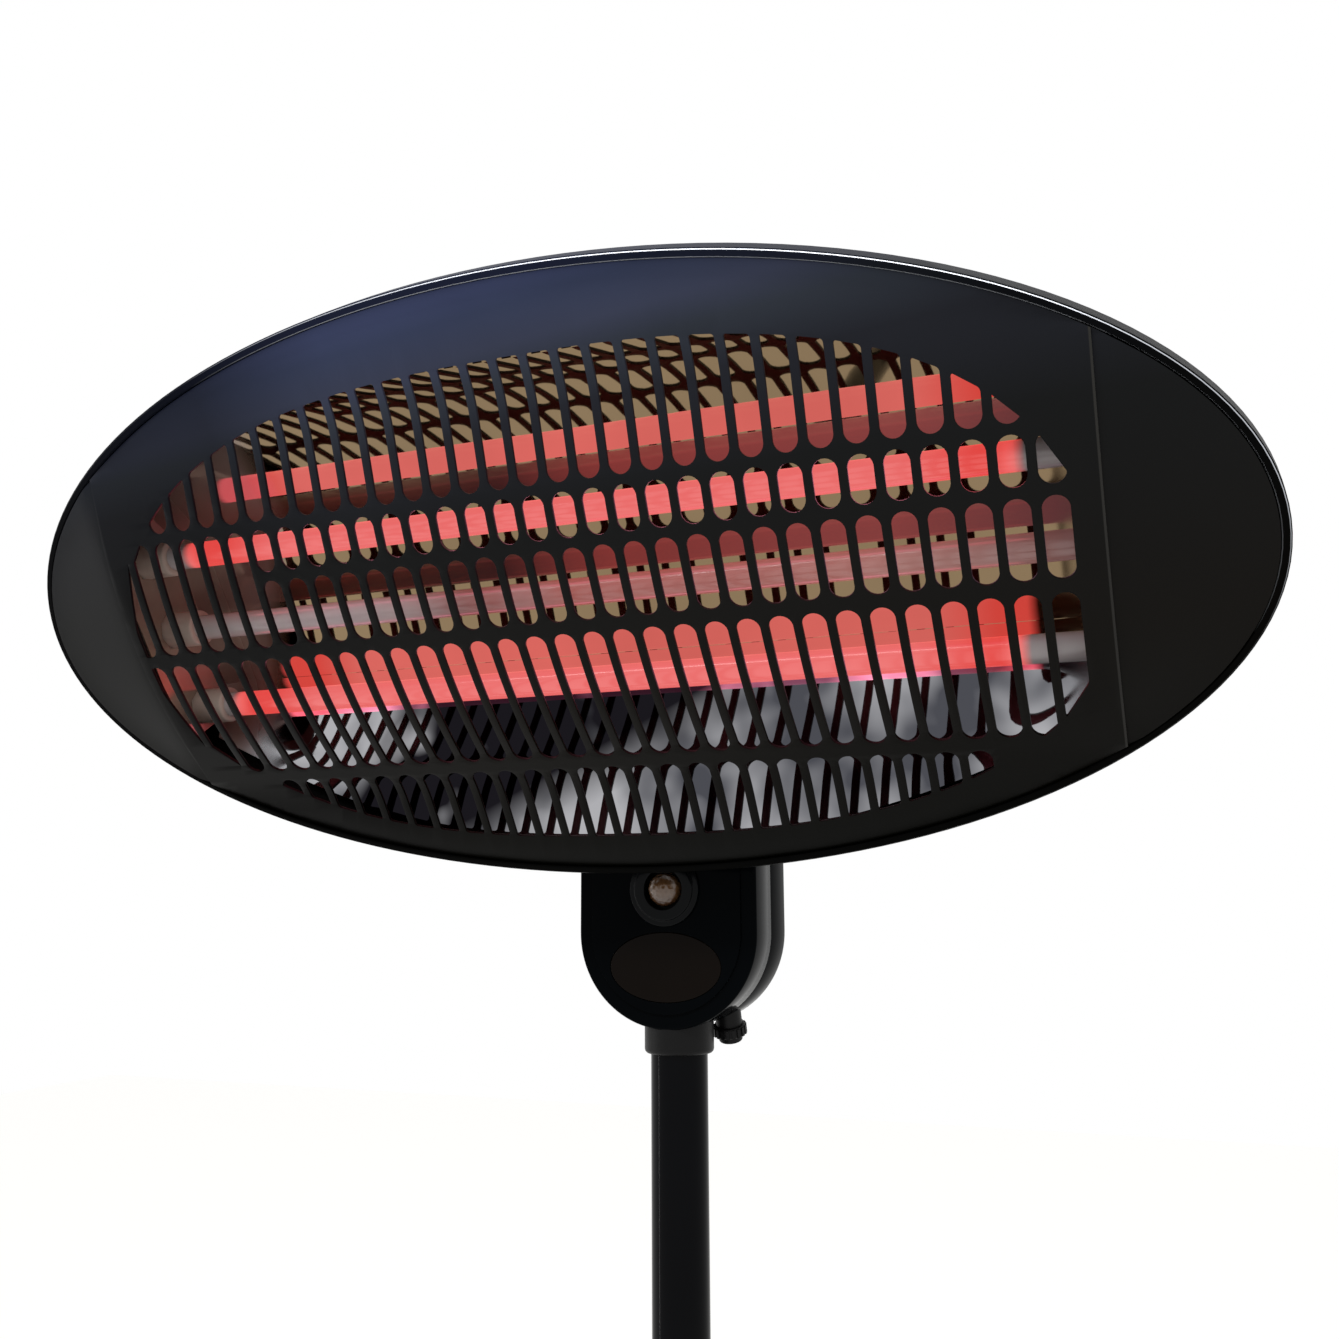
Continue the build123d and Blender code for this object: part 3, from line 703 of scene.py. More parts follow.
def turned(corners, steps=40):
    # a half section through (radius, height, softness) turned round the Z axis
    bm = bmesh.new()
    upright = Matrix(((1, 0, 0, 0), (0, 0, -1, 0), (0, 1, 0, 0), (0, 0, 0, 1)))
    outlineEdges(bm, corners, upright)
    onAxis = [e for e in bm.edges if all(abs(v.co.x) < 1e-7 for v in e.verts)]
    bmesh.ops.delete(bm, geom=onAxis, context="EDGES")
    bmesh.ops.spin(bm, geom=bm.verts[:] + bm.edges[:], cent=(0, 0, 0), axis=(0, 0, 1), dvec=(0, 0, 0),
                   angle=2 * math.pi, steps=steps, use_merge=True, use_duplicate=False)
    bmesh.ops.remove_doubles(bm, verts=bm.verts, dist=1e-6)
    faceOut(bm)
    return bm


def sleeve(bore, radius, low, high, lowSoft=0.0, highSoft=0.0, steps=40):
    # a straight tube, or a pin where the bore is 0, with soft outer corners
    return turned([(bore, low), (radius, low, lowSoft), (radius, high, highSoft), (bore, high)], steps)


def cutAt(bm, spot, normal, **clear):
    return bmesh.ops.bisect_plane(bm, geom=bm.verts[:] + bm.edges[:] + bm.faces[:], dist=1e-6,
                                  plane_co=spot, plane_no=normal, **clear)["geom_cut"]


def cutEvery(bm, axis, low, high, step):
    # cuts a sheet into strips so that it can bend
    normal = Vector((0, 0, 0))
    normal[axis] = 1
    for i in range(int(round((high - low) / step)) + 1):
        cutAt(bm, normal * (low + i * step), normal)


def trimPast(bm, x, side):
    # takes away what lies past x, to the right for side 1 and to the left for side -1
    cutAt(bm, (x, 0, 0), (side, 0, 0), clear_outer=True)


def giveWall(bm, thickness, outward=None):
    # a surface gets a wall on its inner side; outward gives less than 0 where the faces point in
    faceOut(bm)
    if outward is not None and outward(bm) < 0:
        bmesh.ops.reverse_faces(bm, faces=bm.faces)
    bmesh.ops.solidify(bm, geom=bm.faces[:], thickness=thickness)
    return bm


def frontward(bm):
    return sum(f.normal.z for f in bm.faces)


def backward(bm):
    return -min(bm.faces, key=lambda f: f.calc_center_median().z).normal.z


def placed(name, bm, body, slot, node, place=None, look=None, sharp=34.0):
    # a finished piece: its mesh at the place, its body, its finish and the node that it stands for
    if place is not None:
        bmesh.ops.transform(bm, matrix=place, verts=bm.verts)
        if place.determinant() < 0:
            bmesh.ops.reverse_faces(bm, faces=bm.faces)
    piece = meshObject(name, bm, look or looks[slot])
    piece.data.shade_smooth()
    piece.data.set_sharp_from_angle(angle=math.radians(sharp))
    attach(piece, body)
    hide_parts(node)
    return piece


def joined(*parts):
    # several modelled parts as one piece
    whole = bmesh.new()
    for part in parts:
        mesh = bpy.data.meshes.new("part")
        part.to_mesh(mesh)
        part.free()
        whole.from_mesh(mesh)
        bpy.data.meshes.remove(mesh)
    return whole


def moved(bm, place):
    bmesh.ops.transform(bm, matrix=place, verts=bm.verts)
    return bm


def at(x=0.0, y=0.0, z=0.0):
    return Matrix.Translation((x, y, z))


def turnedBy(angle, axis):
    return Matrix.Rotation(math.radians(angle), 4, axis)


alongX = turnedBy(90, "Y")     # a piece built up +Z lies along +X
alongLeft = turnedBy(-90, "Y")
facingFront = turnedBy(90, "X")   # and faces -Y
facingRear = Matrix.Scale(-1, 4, (0, 1, 0)) @ facingFront   # or +Y, still upright
quarters = [turnedBy(45 + 90 * i, "Z") for i in range(4)]


# shares of a head's radius that its corners take, with their segments, and of its height for the socket
screwShape = {"round": (0.999, 8), "cornered": (0.08, 2), "deep": 0.6, "soft": 0.0005}


def boltHead(radius, height, drive, sides=0):
    # a screw's head from the surface up, with a hexagon socket
    share, steps = screwShape["cornered" if sides else "round"]
    corners = boxCorners(radius, radius, radius * share, steps)
    if sides:
        turns = [2 * math.pi * i / sides for i in range(sides)]
        corners = [(*onCircle(radius, turn), radius * share, steps) for turn in turns]
    bm = soften(slab(corners, height), screwShape["soft"], 3, atHeight(height))
    hexagon = [onCircle(drive, math.pi * i / 3) for i in range(6)]
    drawOut(bm, openCap(bm, height, [hexagon])[0], -height * screwShape["deep"])
    return bm


def placeScrews(name, body, node, places, head, shank=None):
    # equal screws as one piece; head as in boltHead, shank a radius, a length and its steps
    parts = []
    for place in places:
        screw = boltHead(*head)
        if shank is not None:
            radius, length, steps = shank
            screw = joined(screw, sleeve(0, radius, -length, 0, steps=steps))
        parts.append(moved(screw, place))
    placed(name, joined(*parts), body, "zinc_steel", node)


star = {
    "lobes": 6,
    # one flat-topped lobe: share of the radius, and degrees from its middle
    "lobe": ((1.0, -13), (1.0, 13), (0.76, 23), (0.76, 37)),
    "corner": (0.1, 5),         # share of the radius, and segments
    "soft": 0.0018,
}


def starKnob(radius, low, high):
    share, steps = star["corner"]
    corners = []
    for i in range(star["lobes"]):
        for reach, turn in star["lobe"]:
            spot = onCircle(reach * radius, math.radians(360 / star["lobes"] * i + turn))
            corners.append((*spot, radius * share, steps))
    return moved(soften(slab(corners, high - low), star["soft"], 4), at(0, 0, low))


# base

skirt = {
    "section": ((0.230, 0.003, 0.0008), (0.230, 0.0168, 0.004), (0.2235, 0.0245, 0.006),
                (0.064, 0.0390, 0.030), (0.0262, 0.058, 0.0015), (0.0207, 0.058, 0.0006), (0.0205, 0.055),
                (0.059, 0.0372, 0.004), (0.212, 0.0230), (0.212, 0.0160), (0.2161, 0.0160), (0.2161, 0.003)),
    "steps": 128,
}
weight = {"radius": 0.215, "low": 0.008, "top": 0.016, "soft": 0.0012}
foot = {"ring": 0.185, "radius": 0.020, "toe": 0.017, "height": 0.008, "toeSoft": 0.001, "topSoft": 0.0004}
socket = {
    "flange": 0.060, "sheet": 0.005, "tube": 0.020, "top": 0.100, "bore": 0.01605,
    "edgeSoft": 0.001, "weld": 0.004, "topSoft": 0.0006, "boreSoft": 0.0003,
    "bolts": 0.045, "head": (0.007, 0.005, 0.003, 6), "shank": (0.0038, 0.0125, 24),
}


def makeBase():
    placed("baseCover", turned(skirt["section"], skirt["steps"]), "base", "black_moulding", "base_cover")
    low, top, soft = weight["low"], weight["top"], weight["soft"]
    disc = sleeve(0, weight["radius"], low, top, soft, soft, steps=96)
    placed("basePlate", disc, "base", "weight_steel", "base_plate")
    high = foot["height"]
    shape = [(0, 0), (foot["toe"], 0, foot["toeSoft"]), (foot["radius"], high, foot["topSoft"]), (0, high)]
    feet = [moved(turned(shape), quarter @ at(foot["ring"])) for quarter in quarters]
    placed("baseFeet", joined(*feet), "base", "black_rubber", "base_feet")
    bore, flange, tube, top = socket["bore"], socket["flange"], socket["tube"], socket["top"]
    low, seat = weight["top"], weight["top"] + socket["sheet"]
    shape = [(bore, low), (flange, low), (flange, seat, socket["edgeSoft"]), (tube, seat, socket["weld"]),
             (tube, top, socket["topSoft"]), (bore, top, socket["boreSoft"])]
    placed("poleSocket", turned(shape, steps=56), "base", "gloss_black_steel", "pole_socket")
    spots = [quarter @ at(socket["bolts"], 0, seat) for quarter in quarters]
    placeScrews("socketBolts", "base", "socket_bolts", spots, socket["head"], socket["shank"])


makeBase()
print("base done")

# pole and clamp

pole = {
    "radius": 0.0127, "wall": 0.0012, "foot": 0.740, "top": 1.612, "soft": 0.0003,
    "mast": 0.016, "mastBore": 0.0145, "mastFoot": 0.016, "mastTop": 1.000,
    "play": 0.00005,        # round the upper pole and the mast
    "bushFoot": 0.955, "bushPlay": 0.0001, "bushFlange": 0.003, "bushSoft": (0.0005, 0.001, 0.0004),
}
clamp = {
    "radius": 0.022, "foot": 0.978, "top": 1.040, "play": 0.0004, "soft": (0.0012, 0.003, 0.0006),
    "screwHeight": 1.024, "boss": (0.011, 0.019, 0.034), "bossSoft": (0.0015, 0.0005),
    "screw": 0.004, "screwEnd": 0.056, "screwPlay": 0.0001, "screwSoft": 0.0005,
    "knob": (0.022, 0.047, 0.063), "hub": (0.010, 0.040, 0.051), "hubSoft": 0.001,
    # the round cap on the knob, down from its top
    "button": ((0, -0.001), (0.009, -0.001), (0.009, 0, 0.0006), (0.0075, 0, 0.0004), (0.007, -0.0006),
               (0, -0.0006)),
}


def makePole():
    outer, mast, mastBore, top = pole["radius"], pole["mast"], pole["mastBore"], pole["mastTop"]
    soft = pole["soft"]
    tube = sleeve(outer - pole["wall"], outer, pole["foot"], pole["top"], soft, soft, steps=64)
    placed("upperPole", tube, "pole", "gloss_black_steel", "upper_pole")
    tube = sleeve(mastBore, mast, pole["mastFoot"], top, 0, soft, steps=64)
    placed("lowerPole", tube, "base", "gloss_black_steel", "lower_pole")
    inner, snug = outer + pole["play"], mastBore - pole["bushPlay"]
    low, high = pole["bushFoot"], top + pole["bushFlange"]
    footSoft, edgeSoft, boreSoft = pole["bushSoft"]
    shape = [(inner, low), (snug, low, footSoft), (snug, top), (mast, top), (mast, high, edgeSoft),
             (inner, high, boreSoft)]
    placed("poleBush", turned(shape, steps=64), "base", "nylon", "pole_bush_top")


def makeClamp():
    inner, bore = pole["mast"] + pole["play"], pole["radius"] + clamp["play"]
    radius, low, high = clamp["radius"], clamp["foot"], clamp["top"]
    footSoft, topSoft, boreSoft = clamp["soft"]
    step = pole["mastTop"] + pole["bushFlange"]
    grip = turned([(inner, low), (radius, low, footSoft), (radius, high, topSoft), (bore, high, boreSoft),
                   (bore, step), (inner, step)], steps=64)
    screw = clamp["screw"]
    hole = screw + clamp["screwPlay"]
    (radius, low, high), (rimSoft, holeSoft) = clamp["boss"], clamp["bossSoft"]
    boss = turned([(hole, low), (radius, low), (radius, high, rimSoft), (hole, high, holeSoft)])
    spot = at(0, 0, clamp["screwHeight"]) @ alongX
    placed("clampCollar", joined(grip, moved(boss, spot)), "base", "black_moulding", "clamp_collar")
    stem = sleeve(0, screw, bore, clamp["screwEnd"], clamp["screwSoft"], steps=32)
    placed("clampScrew", stem, "clamp_knob", "zinc_steel", "clamp_screw", spot)
    hub = sleeve(hole, *clamp["hub"], clamp["hubSoft"])
    button = moved(turned(clamp["button"]), at(0, 0, clamp["knob"][2]))
    knob = joined(starKnob(*clamp["knob"]), hub, button)
    placed("heightKnob", knob, "clamp_knob", "black_moulding", "height_knob", spot)


makePole()
makeClamp()
print("pole and clamp done")

# neck

joints = {joint["name"]: joint for joint in frame["joints"]}
pivot = Vector(joints["head_tilt"]["pos_m"])

neck = {
    "half": 0.042,
    "front": -0.016,
    "rear": 0.028,
    "split": 0.006,
    "top": pivot.z - 0.040,
    "arc": pivot.z - 0.124,     # centre of the round bottom
    "wall": 0.0025,
    "edge": 0.0026,
    "topCorner": 0.0015,
    "seamSoft": 0.0003,
    "bottomRound": 0.9999,      # radius of its two round corners, as a share of the half width
    "bottomSteps": 26,
    "screwSpots": [(x, z) for x in (-0.030, 0.030) for z in (1.626, 1.696)],
    "screwHead": (0.0034, 0.0019, 0.0013),
    "screwShank": (0.0016, 0.006, 20),
}
plate = {
    "half": 0.03525,
    "below": 0.006,             # its top below the neck's top
    "proud": 0.0012,
    "lensHole": 0.0158,
    "soft": 0.00035,
}
lens = {
    "height": pivot.z - 0.105,
    "ring": ((0.0088, 0, 0.0002), (0.0163, 0), (0.0163, 0.0012, 0.0005), (0.0138, 0.0012, 0.0006),
             (0.0138, 0.0024, 0.0009), (0.0088, 0.0024, 0.0006)),
    "dome": 0.0077,
    "proud": 0.0060,
    "cut": -0.001,              # the ball is cut here and runs on straight for its depth
    "depth": 0.004,
}
ovalWindow = {
    "height": pivot.z - 0.1389, "a": 0.02635, "b": 0.01535, "gap": 0.0002, "soft": 0.0005, "count": 72,
}
collar = {
    "radius": 0.0155, "bottom": pivot.z - 0.177, "top": 1.616, "bore": 0.01275, "roof": 0.0035,
    "soft": 0.0020, "boreSoft": 0.0004,
}
gland = {
    "spot": (0.017, 0.018, pivot.z - 0.162),
    "lean": 18.0,
    "bore": 0.0036,
    "mouth": (0.0054, -0.0118, 0.0008),
    "body": (0.006, -0.009, 0.011),
    "nut": (0.0072, -0.009, -0.004),
    "nutPlay": 0.001,
    "nutSoft": (0.0010, 0.0006),
    "ribs": 18,
    "rib": (0.0005, 0.00075),
    "ribLong": 0.0040,
    "ribSpot": (0.0073, 0.00015, -0.0085),
}
lug = {
    "half": 0.014, "over": 0.014, "wide": 0.024, "soft": 0.0010, "topFlat": 0.00001, "topSteps": 14,
    "saddle": (0.028, 0.017), "saddleMiddle": (0, 0.004), "saddleHigh": 0.004, "saddleSoft": 0.0006,
    "washers": (-0.01345, 0.0120), "washerHole": 0.00405, "washer": 0.012, "washerThick": 0.00145,
    "washerSoft": 0.0003,
}
switchBox = {
    "height": 1.660, "wide": 0.019, "high": 0.013, "rim": 0.003, "rimSoft": 0.002, "play": 0.0001,
    "playSoft": 0.0004, "proud": 0.002, "soft": 0.0006, "depth": 0.010, "wall": 0.0012,
    # the rocker's side: a shallow vee
    "rocker": ((0.0047, 0.0, 0.0003), (0.0047, 0.0050, 0.0007), (0.0, 0.0044, 0.002),
               (-0.0047, 0.0050, 0.0007), (-0.0047, 0.0, 0.0003)),
    "rockerLong": 0.016, "rockerSoft": 0.0004, "rockerSunk": -0.0015,
    "lean": 7.0,                # pressed in at its lower end
}


def neckOutline(inset, top):
    half = neck["half"] - inset
    bend = half * neck["bottomRound"]
    low = neck["arc"] - half
    soft = neck["topCorner"]
    return [(half, top, soft, 4), (-half, top, soft, 4), (-half, low, bend, neck["bottomSteps"]),
            (half, low, bend, neck["bottomSteps"])]


def neckShell(depth, holes=()):
    # one shell of the housing, built up from the joint line
    bm = slab(neckOutline(0, neck["top"]), depth)
    soften(bm, neck["edge"], 6, atHeight(depth))
    soften(bm, neck["seamSoft"], 2, atHeight(0))
    dropFaces(bm, [f for f in bm.faces if all(abs(v.co.z) < 1e-6 for v in f.verts)])
    if holes:
        openCap(bm, depth, holes)
    return bm


def makeNeckHousing():
    split, rear = neck["split"], neck["rear"]
    opening = boxCorners(switchBox["wide"] / 2, switchBox["high"] / 2, centre=(0, switchBox["height"]))
    shells = (("neckFront", split - neck["front"], (), facingFront, "neck_shell_front"),
              ("neckRear", rear - split, [opening], facingRear, "neck_shell_rear"))
    for name, depth, holes, way, node in shells:
        bm = neckShell(depth, holes)
        shell = placed(name, bm, "neck", "gloss_black_housing", node, at(0, split, 0) @ way)
        wall = shell.modifiers.new("wall", "SOLIDIFY")
        wall.thickness = neck["wall"]
        wall.offset = -1.0
    spots = [at(x, rear, z) @ turnedBy(-90, "X") for x, z in neck["screwSpots"]]
    placeScrews("neckScrews", "neck", "neck_screws", spots, neck["screwHead"], neck["screwShank"])


def makeLens():
    onPlate = at(0, neck["front"] - plate["proud"], lens["height"]) @ facingFront
    placed("lensRing", turned(lens["ring"], steps=72), "neck", "lens_trim", "lens_ring", onPlate)
    dome = bmesh.new()
    bmesh.ops.create_icosphere(dome, subdivisions=3, radius=lens["dome"])
    cutAt(dome, (0, 0, lens["cut"]), (0, 0, 1), clear_inner=True)
    drawOut(dome, [e for e in dome.edges if e.is_boundary], -lens["depth"])
    place = onPlate @ at(0, 0, lens["proud"] - lens["dome"])
    placed("lensDome", dome, "neck", "amber_lens", "lens_dome", place, sharp=4.0)


def makeNeckFace():
    front = at(0, neck["front"], 0) @ facingFront
    a, b, height, proud = ovalWindow["a"], ovalWindow["b"], ovalWindow["height"], plate["proud"]
    holes = [(plate["lensHole"], plate["lensHole"], 0, lens["height"]), (a, b, 0, height)]
    sheet = slab(neckOutline(neck["half"] - plate["half"], neck["top"] - plate["below"]), proud, holes)
    sheet = soften(sheet, plate["soft"])
    placed("facePlate", sheet, "neck", "gloss_black_housing", "face_plate", front)
    makeLens()
    gap = ovalWindow["gap"]
    window = thicken(ovalSheet(ovalWindow["count"], a - gap, b - gap, (0, height)), proud)
    window = soften(window, ovalWindow["soft"], 4, atHeight(proud))
    placed("ovalWindow", window, "neck", "smoked_window", "window_oval", front)


def makeCollarAndGland():
    low, top, radius, bore = collar["bottom"], collar["top"], collar["radius"], collar["bore"]
    roof = top - collar["roof"]
    shape = [(bore, low, collar["boreSoft"]), (radius, low, collar["soft"], 3), (radius, top), (0, top),
             (0, roof), (bore, roof)]
    placed("neckCollar", turned(shape, steps=72), "neck", "black_moulding", "neck_collar")
    bore, mouth, (radius, low, high) = gland["bore"], gland["mouth"], gland["body"]
    body = turned([(bore, mouth[1]), mouth, (mouth[0], low), (radius, low), (radius, high), (bore, high)])
    nut = sleeve(bore + gland["nutPlay"], *gland["nut"], *gland["nutSoft"])
    ribs = []
    for i in range(gland["ribs"]):
        rib = slab(boxCorners(*gland["rib"]), gland["ribLong"])
        ribs.append(moved(rib, turnedBy(360 / gland["ribs"] * i, "Z") @ at(*gland["ribSpot"])))
    spot = at(*gland["spot"]) @ turnedBy(gland["lean"], "X")
    placed("cableGland", joined(body, nut, *ribs), "neck", "black_moulding", "cable_gland", spot)


def makeTiltLug():
    half, high, wide = lug["half"], pivot.z + lug["over"], lug["wide"]
    foot = neck["top"] - neck["wall"] - lug["saddleHigh"]
    bend = (half - lug["topFlat"], lug["topSteps"])
    tongue = slab([(half, foot), (half, high, *bend), (-half, high, *bend), (-half, foot)], wide)
    soften(tongue, lug["soft"])
    saddle = slab(boxCorners(*lug["saddle"], centre=lug["saddleMiddle"]), lug["saddleHigh"])
    soften(saddle, lug["saddleSoft"], 2)
    tongue = moved(tongue, Matrix(((0, 0, 1, -wide / 2), (1, 0, 0, 0), (0, 1, 0, 0), (0, 0, 0, 1))))
    piece = joined(tongue, moved(saddle, at(0, 0, foot)))
    placed("tiltLug", piece, "neck", "bracket_steel", "tilt_lug")
    soft = lug["washerSoft"]
    washers = []
    for x in lug["washers"]:
        ring = sleeve(lug["washerHole"], lug["washer"], 0, lug["washerThick"], soft, soft, steps=48)
        washers.append(moved(ring, at(x, 0, pivot.z) @ alongX))
    placed("frictionWashers", joined(*washers), "neck", "nylon", "friction_washers")


def makeSwitch():
    w, h, rim, play = switchBox["wide"] / 2, switchBox["high"] / 2, switchBox["rim"], switchBox["play"]
    spot = at(0, neck["rear"], switchBox["height"])
    bezel = bmesh.new()
    outlineEdges(bezel, boxCorners(w + rim, h + rim, switchBox["rimSoft"]))
    outlineEdges(bezel, boxCorners(w + play, h + play, switchBox["playSoft"]))
    fillFlat(bezel, bezel.edges[:])
    soften(thicken(bezel, switchBox["proud"]), switchBox["soft"], 3, atHeight(switchBox["proud"]))
    box = bmesh.new()
    floor = startOutline(box, boxCorners(w, h))
    drawOut(box, list(floor.edges), switchBox["depth"], close=False)
    giveWall(box, switchBox["wall"])
    bezel = joined(bezel, moved(box, at(0, 0, -switchBox["depth"])))
    placed("switchBezel", bezel, "neck", "matte_black", "switch_bezel", spot @ facingRear)
    long = switchBox["rockerLong"]
    rocker = soften(slab(switchBox["rocker"], long), switchBox["rockerSoft"], 2)
    rocker = moved(rocker, Matrix(((0, 0, 1, -long / 2), (0, 1, 0, switchBox["rockerSunk"]), (1, 0, 0, 0),
                                   (0, 0, 0, 1))))
    lean = spot @ at(0, -switchBox["proud"], 0) @ turnedBy(switchBox["lean"], "X")
    placed("switchRocker", rocker, "power_rocker", "matte_black", "switch_rocker", lean)


makeNeckHousing()
makeNeckFace()
makeCollarAndGland()
makeTiltLug()
makeSwitch()
print("neck done")

# where the head is: its pieces are built with x across, y up the face and z out of the face

headPose = {
    "tilt": 34.5,           # degrees that the face looks down
    "ahead": 0.132,         # crown of the grille ahead of the pivot
    "crownShift": 0.0028,   # the crown is this far above the oval's centre
}


def headPlace():
    turn = math.radians(headPose["tilt"])
    upFace = Vector((0, -math.sin(turn), math.cos(turn)))
    outFace = Vector((0, -math.cos(turn), -math.sin(turn)))
    place = Matrix((Vector((1, 0, 0)), upFace, outFace)).transposed().to_4x4()
    place.translation = pivot + Vector((0, -headPose["ahead"], 0)) - upFace * headPose["crownShift"]
    return place


onHead = headPlace()
toPivot = onHead.inverted() @ pivot     # the tilt pivot seen from the head

# front cover: slotted centre panel and end caps

cover = {
    "a": 0.2515,            # half width and half height inside the housing's lip
    "b": 0.1220,
    "seam": 0.2003,         # the centre panel laps over the end caps here
    "lap": 0.0040,
    "sheet": 0.0012,
    "gap": 0.00005,
    "crownRadius": 0.215,
    "crownHalf": 0.055,
    "footRadius": 0.060,
    "rim": -0.0140,
    "bentHalf": 0.090,      # past this the edge is flat
    "capFall": 0.25,
    "capRun": 0.006,        # a cap leaves the panel's shape over this width
    "capBlend": 0.004,      # how softly it runs out into its flat edge
    "outlineCount": 192,
    "capCell": 0.005,
}
grille = {
    "pitch": 0.012243,
    "width": 0.0090,
    "columns": (-16, 15),
    "shift": 0.0019,        # column 0 stands this far right of the middle
    "rows": ((-0.120, -0.0728), (-0.0672, -0.0085), (-0.0037, 0.0248), (0.0284, 0.0453), (0.0487, 0.120)),
    "lastLong": -11,        # up to this column the third and fourth rows run together
    "a": 0.196,             # the soft-cornered oval that the slots stop on
    "b": 0.101,
    "power": 2.55,
    "centre": -0.0064,
    "roundCount": 24,       # corners of the circle that makes a slot's two ends
    "leastHeight": 0.0040,
    "cornerSoftness": 0.0012,
    "strip": 0.003,
    "edgeSoftness": 0.00028,
}


def faceHeight(s):
    # round middle, straight flanks, hollow foot and flat edge
    half, radius, foot = cover["crownHalf"], cover["crownRadius"], cover["footRadius"]
    slope = math.asin(half / radius)
    drop = radius - math.sqrt(radius**2 - min(abs(s), half)**2)
    run = (-cover["rim"] - drop - foot * (1 - math.cos(slope))) / math.sin(slope)
    if abs(s) <= half:
        return -drop
    straight = half + run * math.cos(slope)
    if abs(s) <= straight:
        return -drop - (abs(s) - half) * math.tan(slope)
    end = straight + foot * math.sin(slope)
    if abs(s) >= end:
        return cover["rim"]
    return cover["rim"] + foot - math.sqrt(foot**2 - (end - abs(s))**2)


def slotOutline(x, low, high):
    # a circle pulled apart, then cut by the grille's outline at either end and rounded there
    a, b, centre, power = (grille[k] for k in ("a", "b", "centre", "power"))
    half = b * max(0.0, 1 - abs(x / a)**power)**(1 / power)
    if min(high, centre + half) - max(low, centre - half) < grille["leastHeight"]:
        return None
    bm = bmesh.new()
    count, radius = grille["roundCount"], grille["width"] / 2
    verts = ovalLoop(bm, count, radius / math.cos(math.pi / count), radius, 0.0, (x, 0), math.pi / count)
    for vert in verts:
        vert.co.y += high - radius if vert.co.y > 0 else low + radius
    bmesh.ops.edgenet_fill(bm, edges=bm.edges[:])
    across, up = math.copysign(abs(x / a)**(power - 1) / a, x), (half / b)**(power - 1) / b
    cuts = [(x, centre + side * half, across, side * up) for side in (1, -1)]
    cuts.append((math.copysign(a, x), 0, math.copysign(1, x), 0))
    for spotX, spotY, outX, outY in cuts:
        away = Vector((outX, outY, 0)).normalized()
        corners = vertsIn(cutAt(bm, (spotX, spotY, 0), away, clear_outer=True))
        if corners:
            bmesh.ops.bevel(bm, geom=corners, offset=grille["cornerSoftness"], offset_type="OFFSET",
                            segments=4, profile=0.5, affect="VERTICES", clamp_overlap=True, material=-1)
    bmesh.ops.remove_doubles(bm, verts=bm.verts, dist=2e-5)
    return bm


def coverSheet():
    return ovalSheet(cover["outlineCount"], cover["a"], cover["b"])


def makeFrontPanel():
    sheet = coverSheet()
    for side in (-1, 1):
        trimPast(sheet, side * cover["seam"], side)
    slots = []
    first, last = grille["columns"]
    for k in range(first, last + 1):
        rows = list(grille["rows"])
        if k <= grille["lastLong"]:
            rows[2:4] = [(rows[2][0], rows[3][1])]
        slots += [slotOutline(grille["shift"] + k * grille["pitch"], low, high) for low, high in rows]
    slots = [slot for slot in slots if slot is not None]
    print("grille slots:", len(slots))
    bm = joined(sheet, *slots)
    dropFaces(bm, bm.faces[:])
    fillFlat(bm, bm.edges[:])
    cutEvery(bm, 1, -cover["bentHalf"], cover["bentHalf"], grille["strip"])
    for vert in bm.verts:
        vert.co.z = faceHeight(vert.co.y)
    giveWall(bm, cover["sheet"], frontward)
    soften(bm, grille["edgeSoftness"], 2)
    placed("grillePanel", bm, "head", "dark_enamel", "front_panel", onHead, look=panelLook)


def capHeight(x, s):
    past = max(x - cover["seam"], 0.0)
    under = cover["sheet"] + cover["gap"]
    share = min(past / cover["capRun"], 1.0)
    share = share * share * (3 - 2 * share)
    slope = faceHeight(s) - under - cover["capFall"] * past
    edge = cover["rim"] - under * (1 - share)
    blend = cover["capBlend"] * share
    return (slope + edge + math.sqrt((slope - edge)**2 + blend**2)) / 2


def makeEndCaps():
    for side, label in ((1, "right"), (-1, "left")):
        bm = coverSheet()
        trimPast(bm, cover["seam"] - cover["lap"], -1)
        cutEvery(bm, 0, cover["seam"], cover["a"], cover["capCell"])
        cutEvery(bm, 1, -cover["bentHalf"], cover["bentHalf"], cover["capCell"])
        for vert in bm.verts:
            vert.co.z = capHeight(vert.co.x, vert.co.y)
        giveWall(bm, cover["sheet"], frontward)
        flip = Matrix.Scale(side, 4, (1, 0, 0))
        placed("endCap_" + label, bm, "head", "dark_enamel", "end_cap_" + label, onHead @ flip)


makeFrontPanel()
makeEndCaps()
print("front cover done")

# rear housing

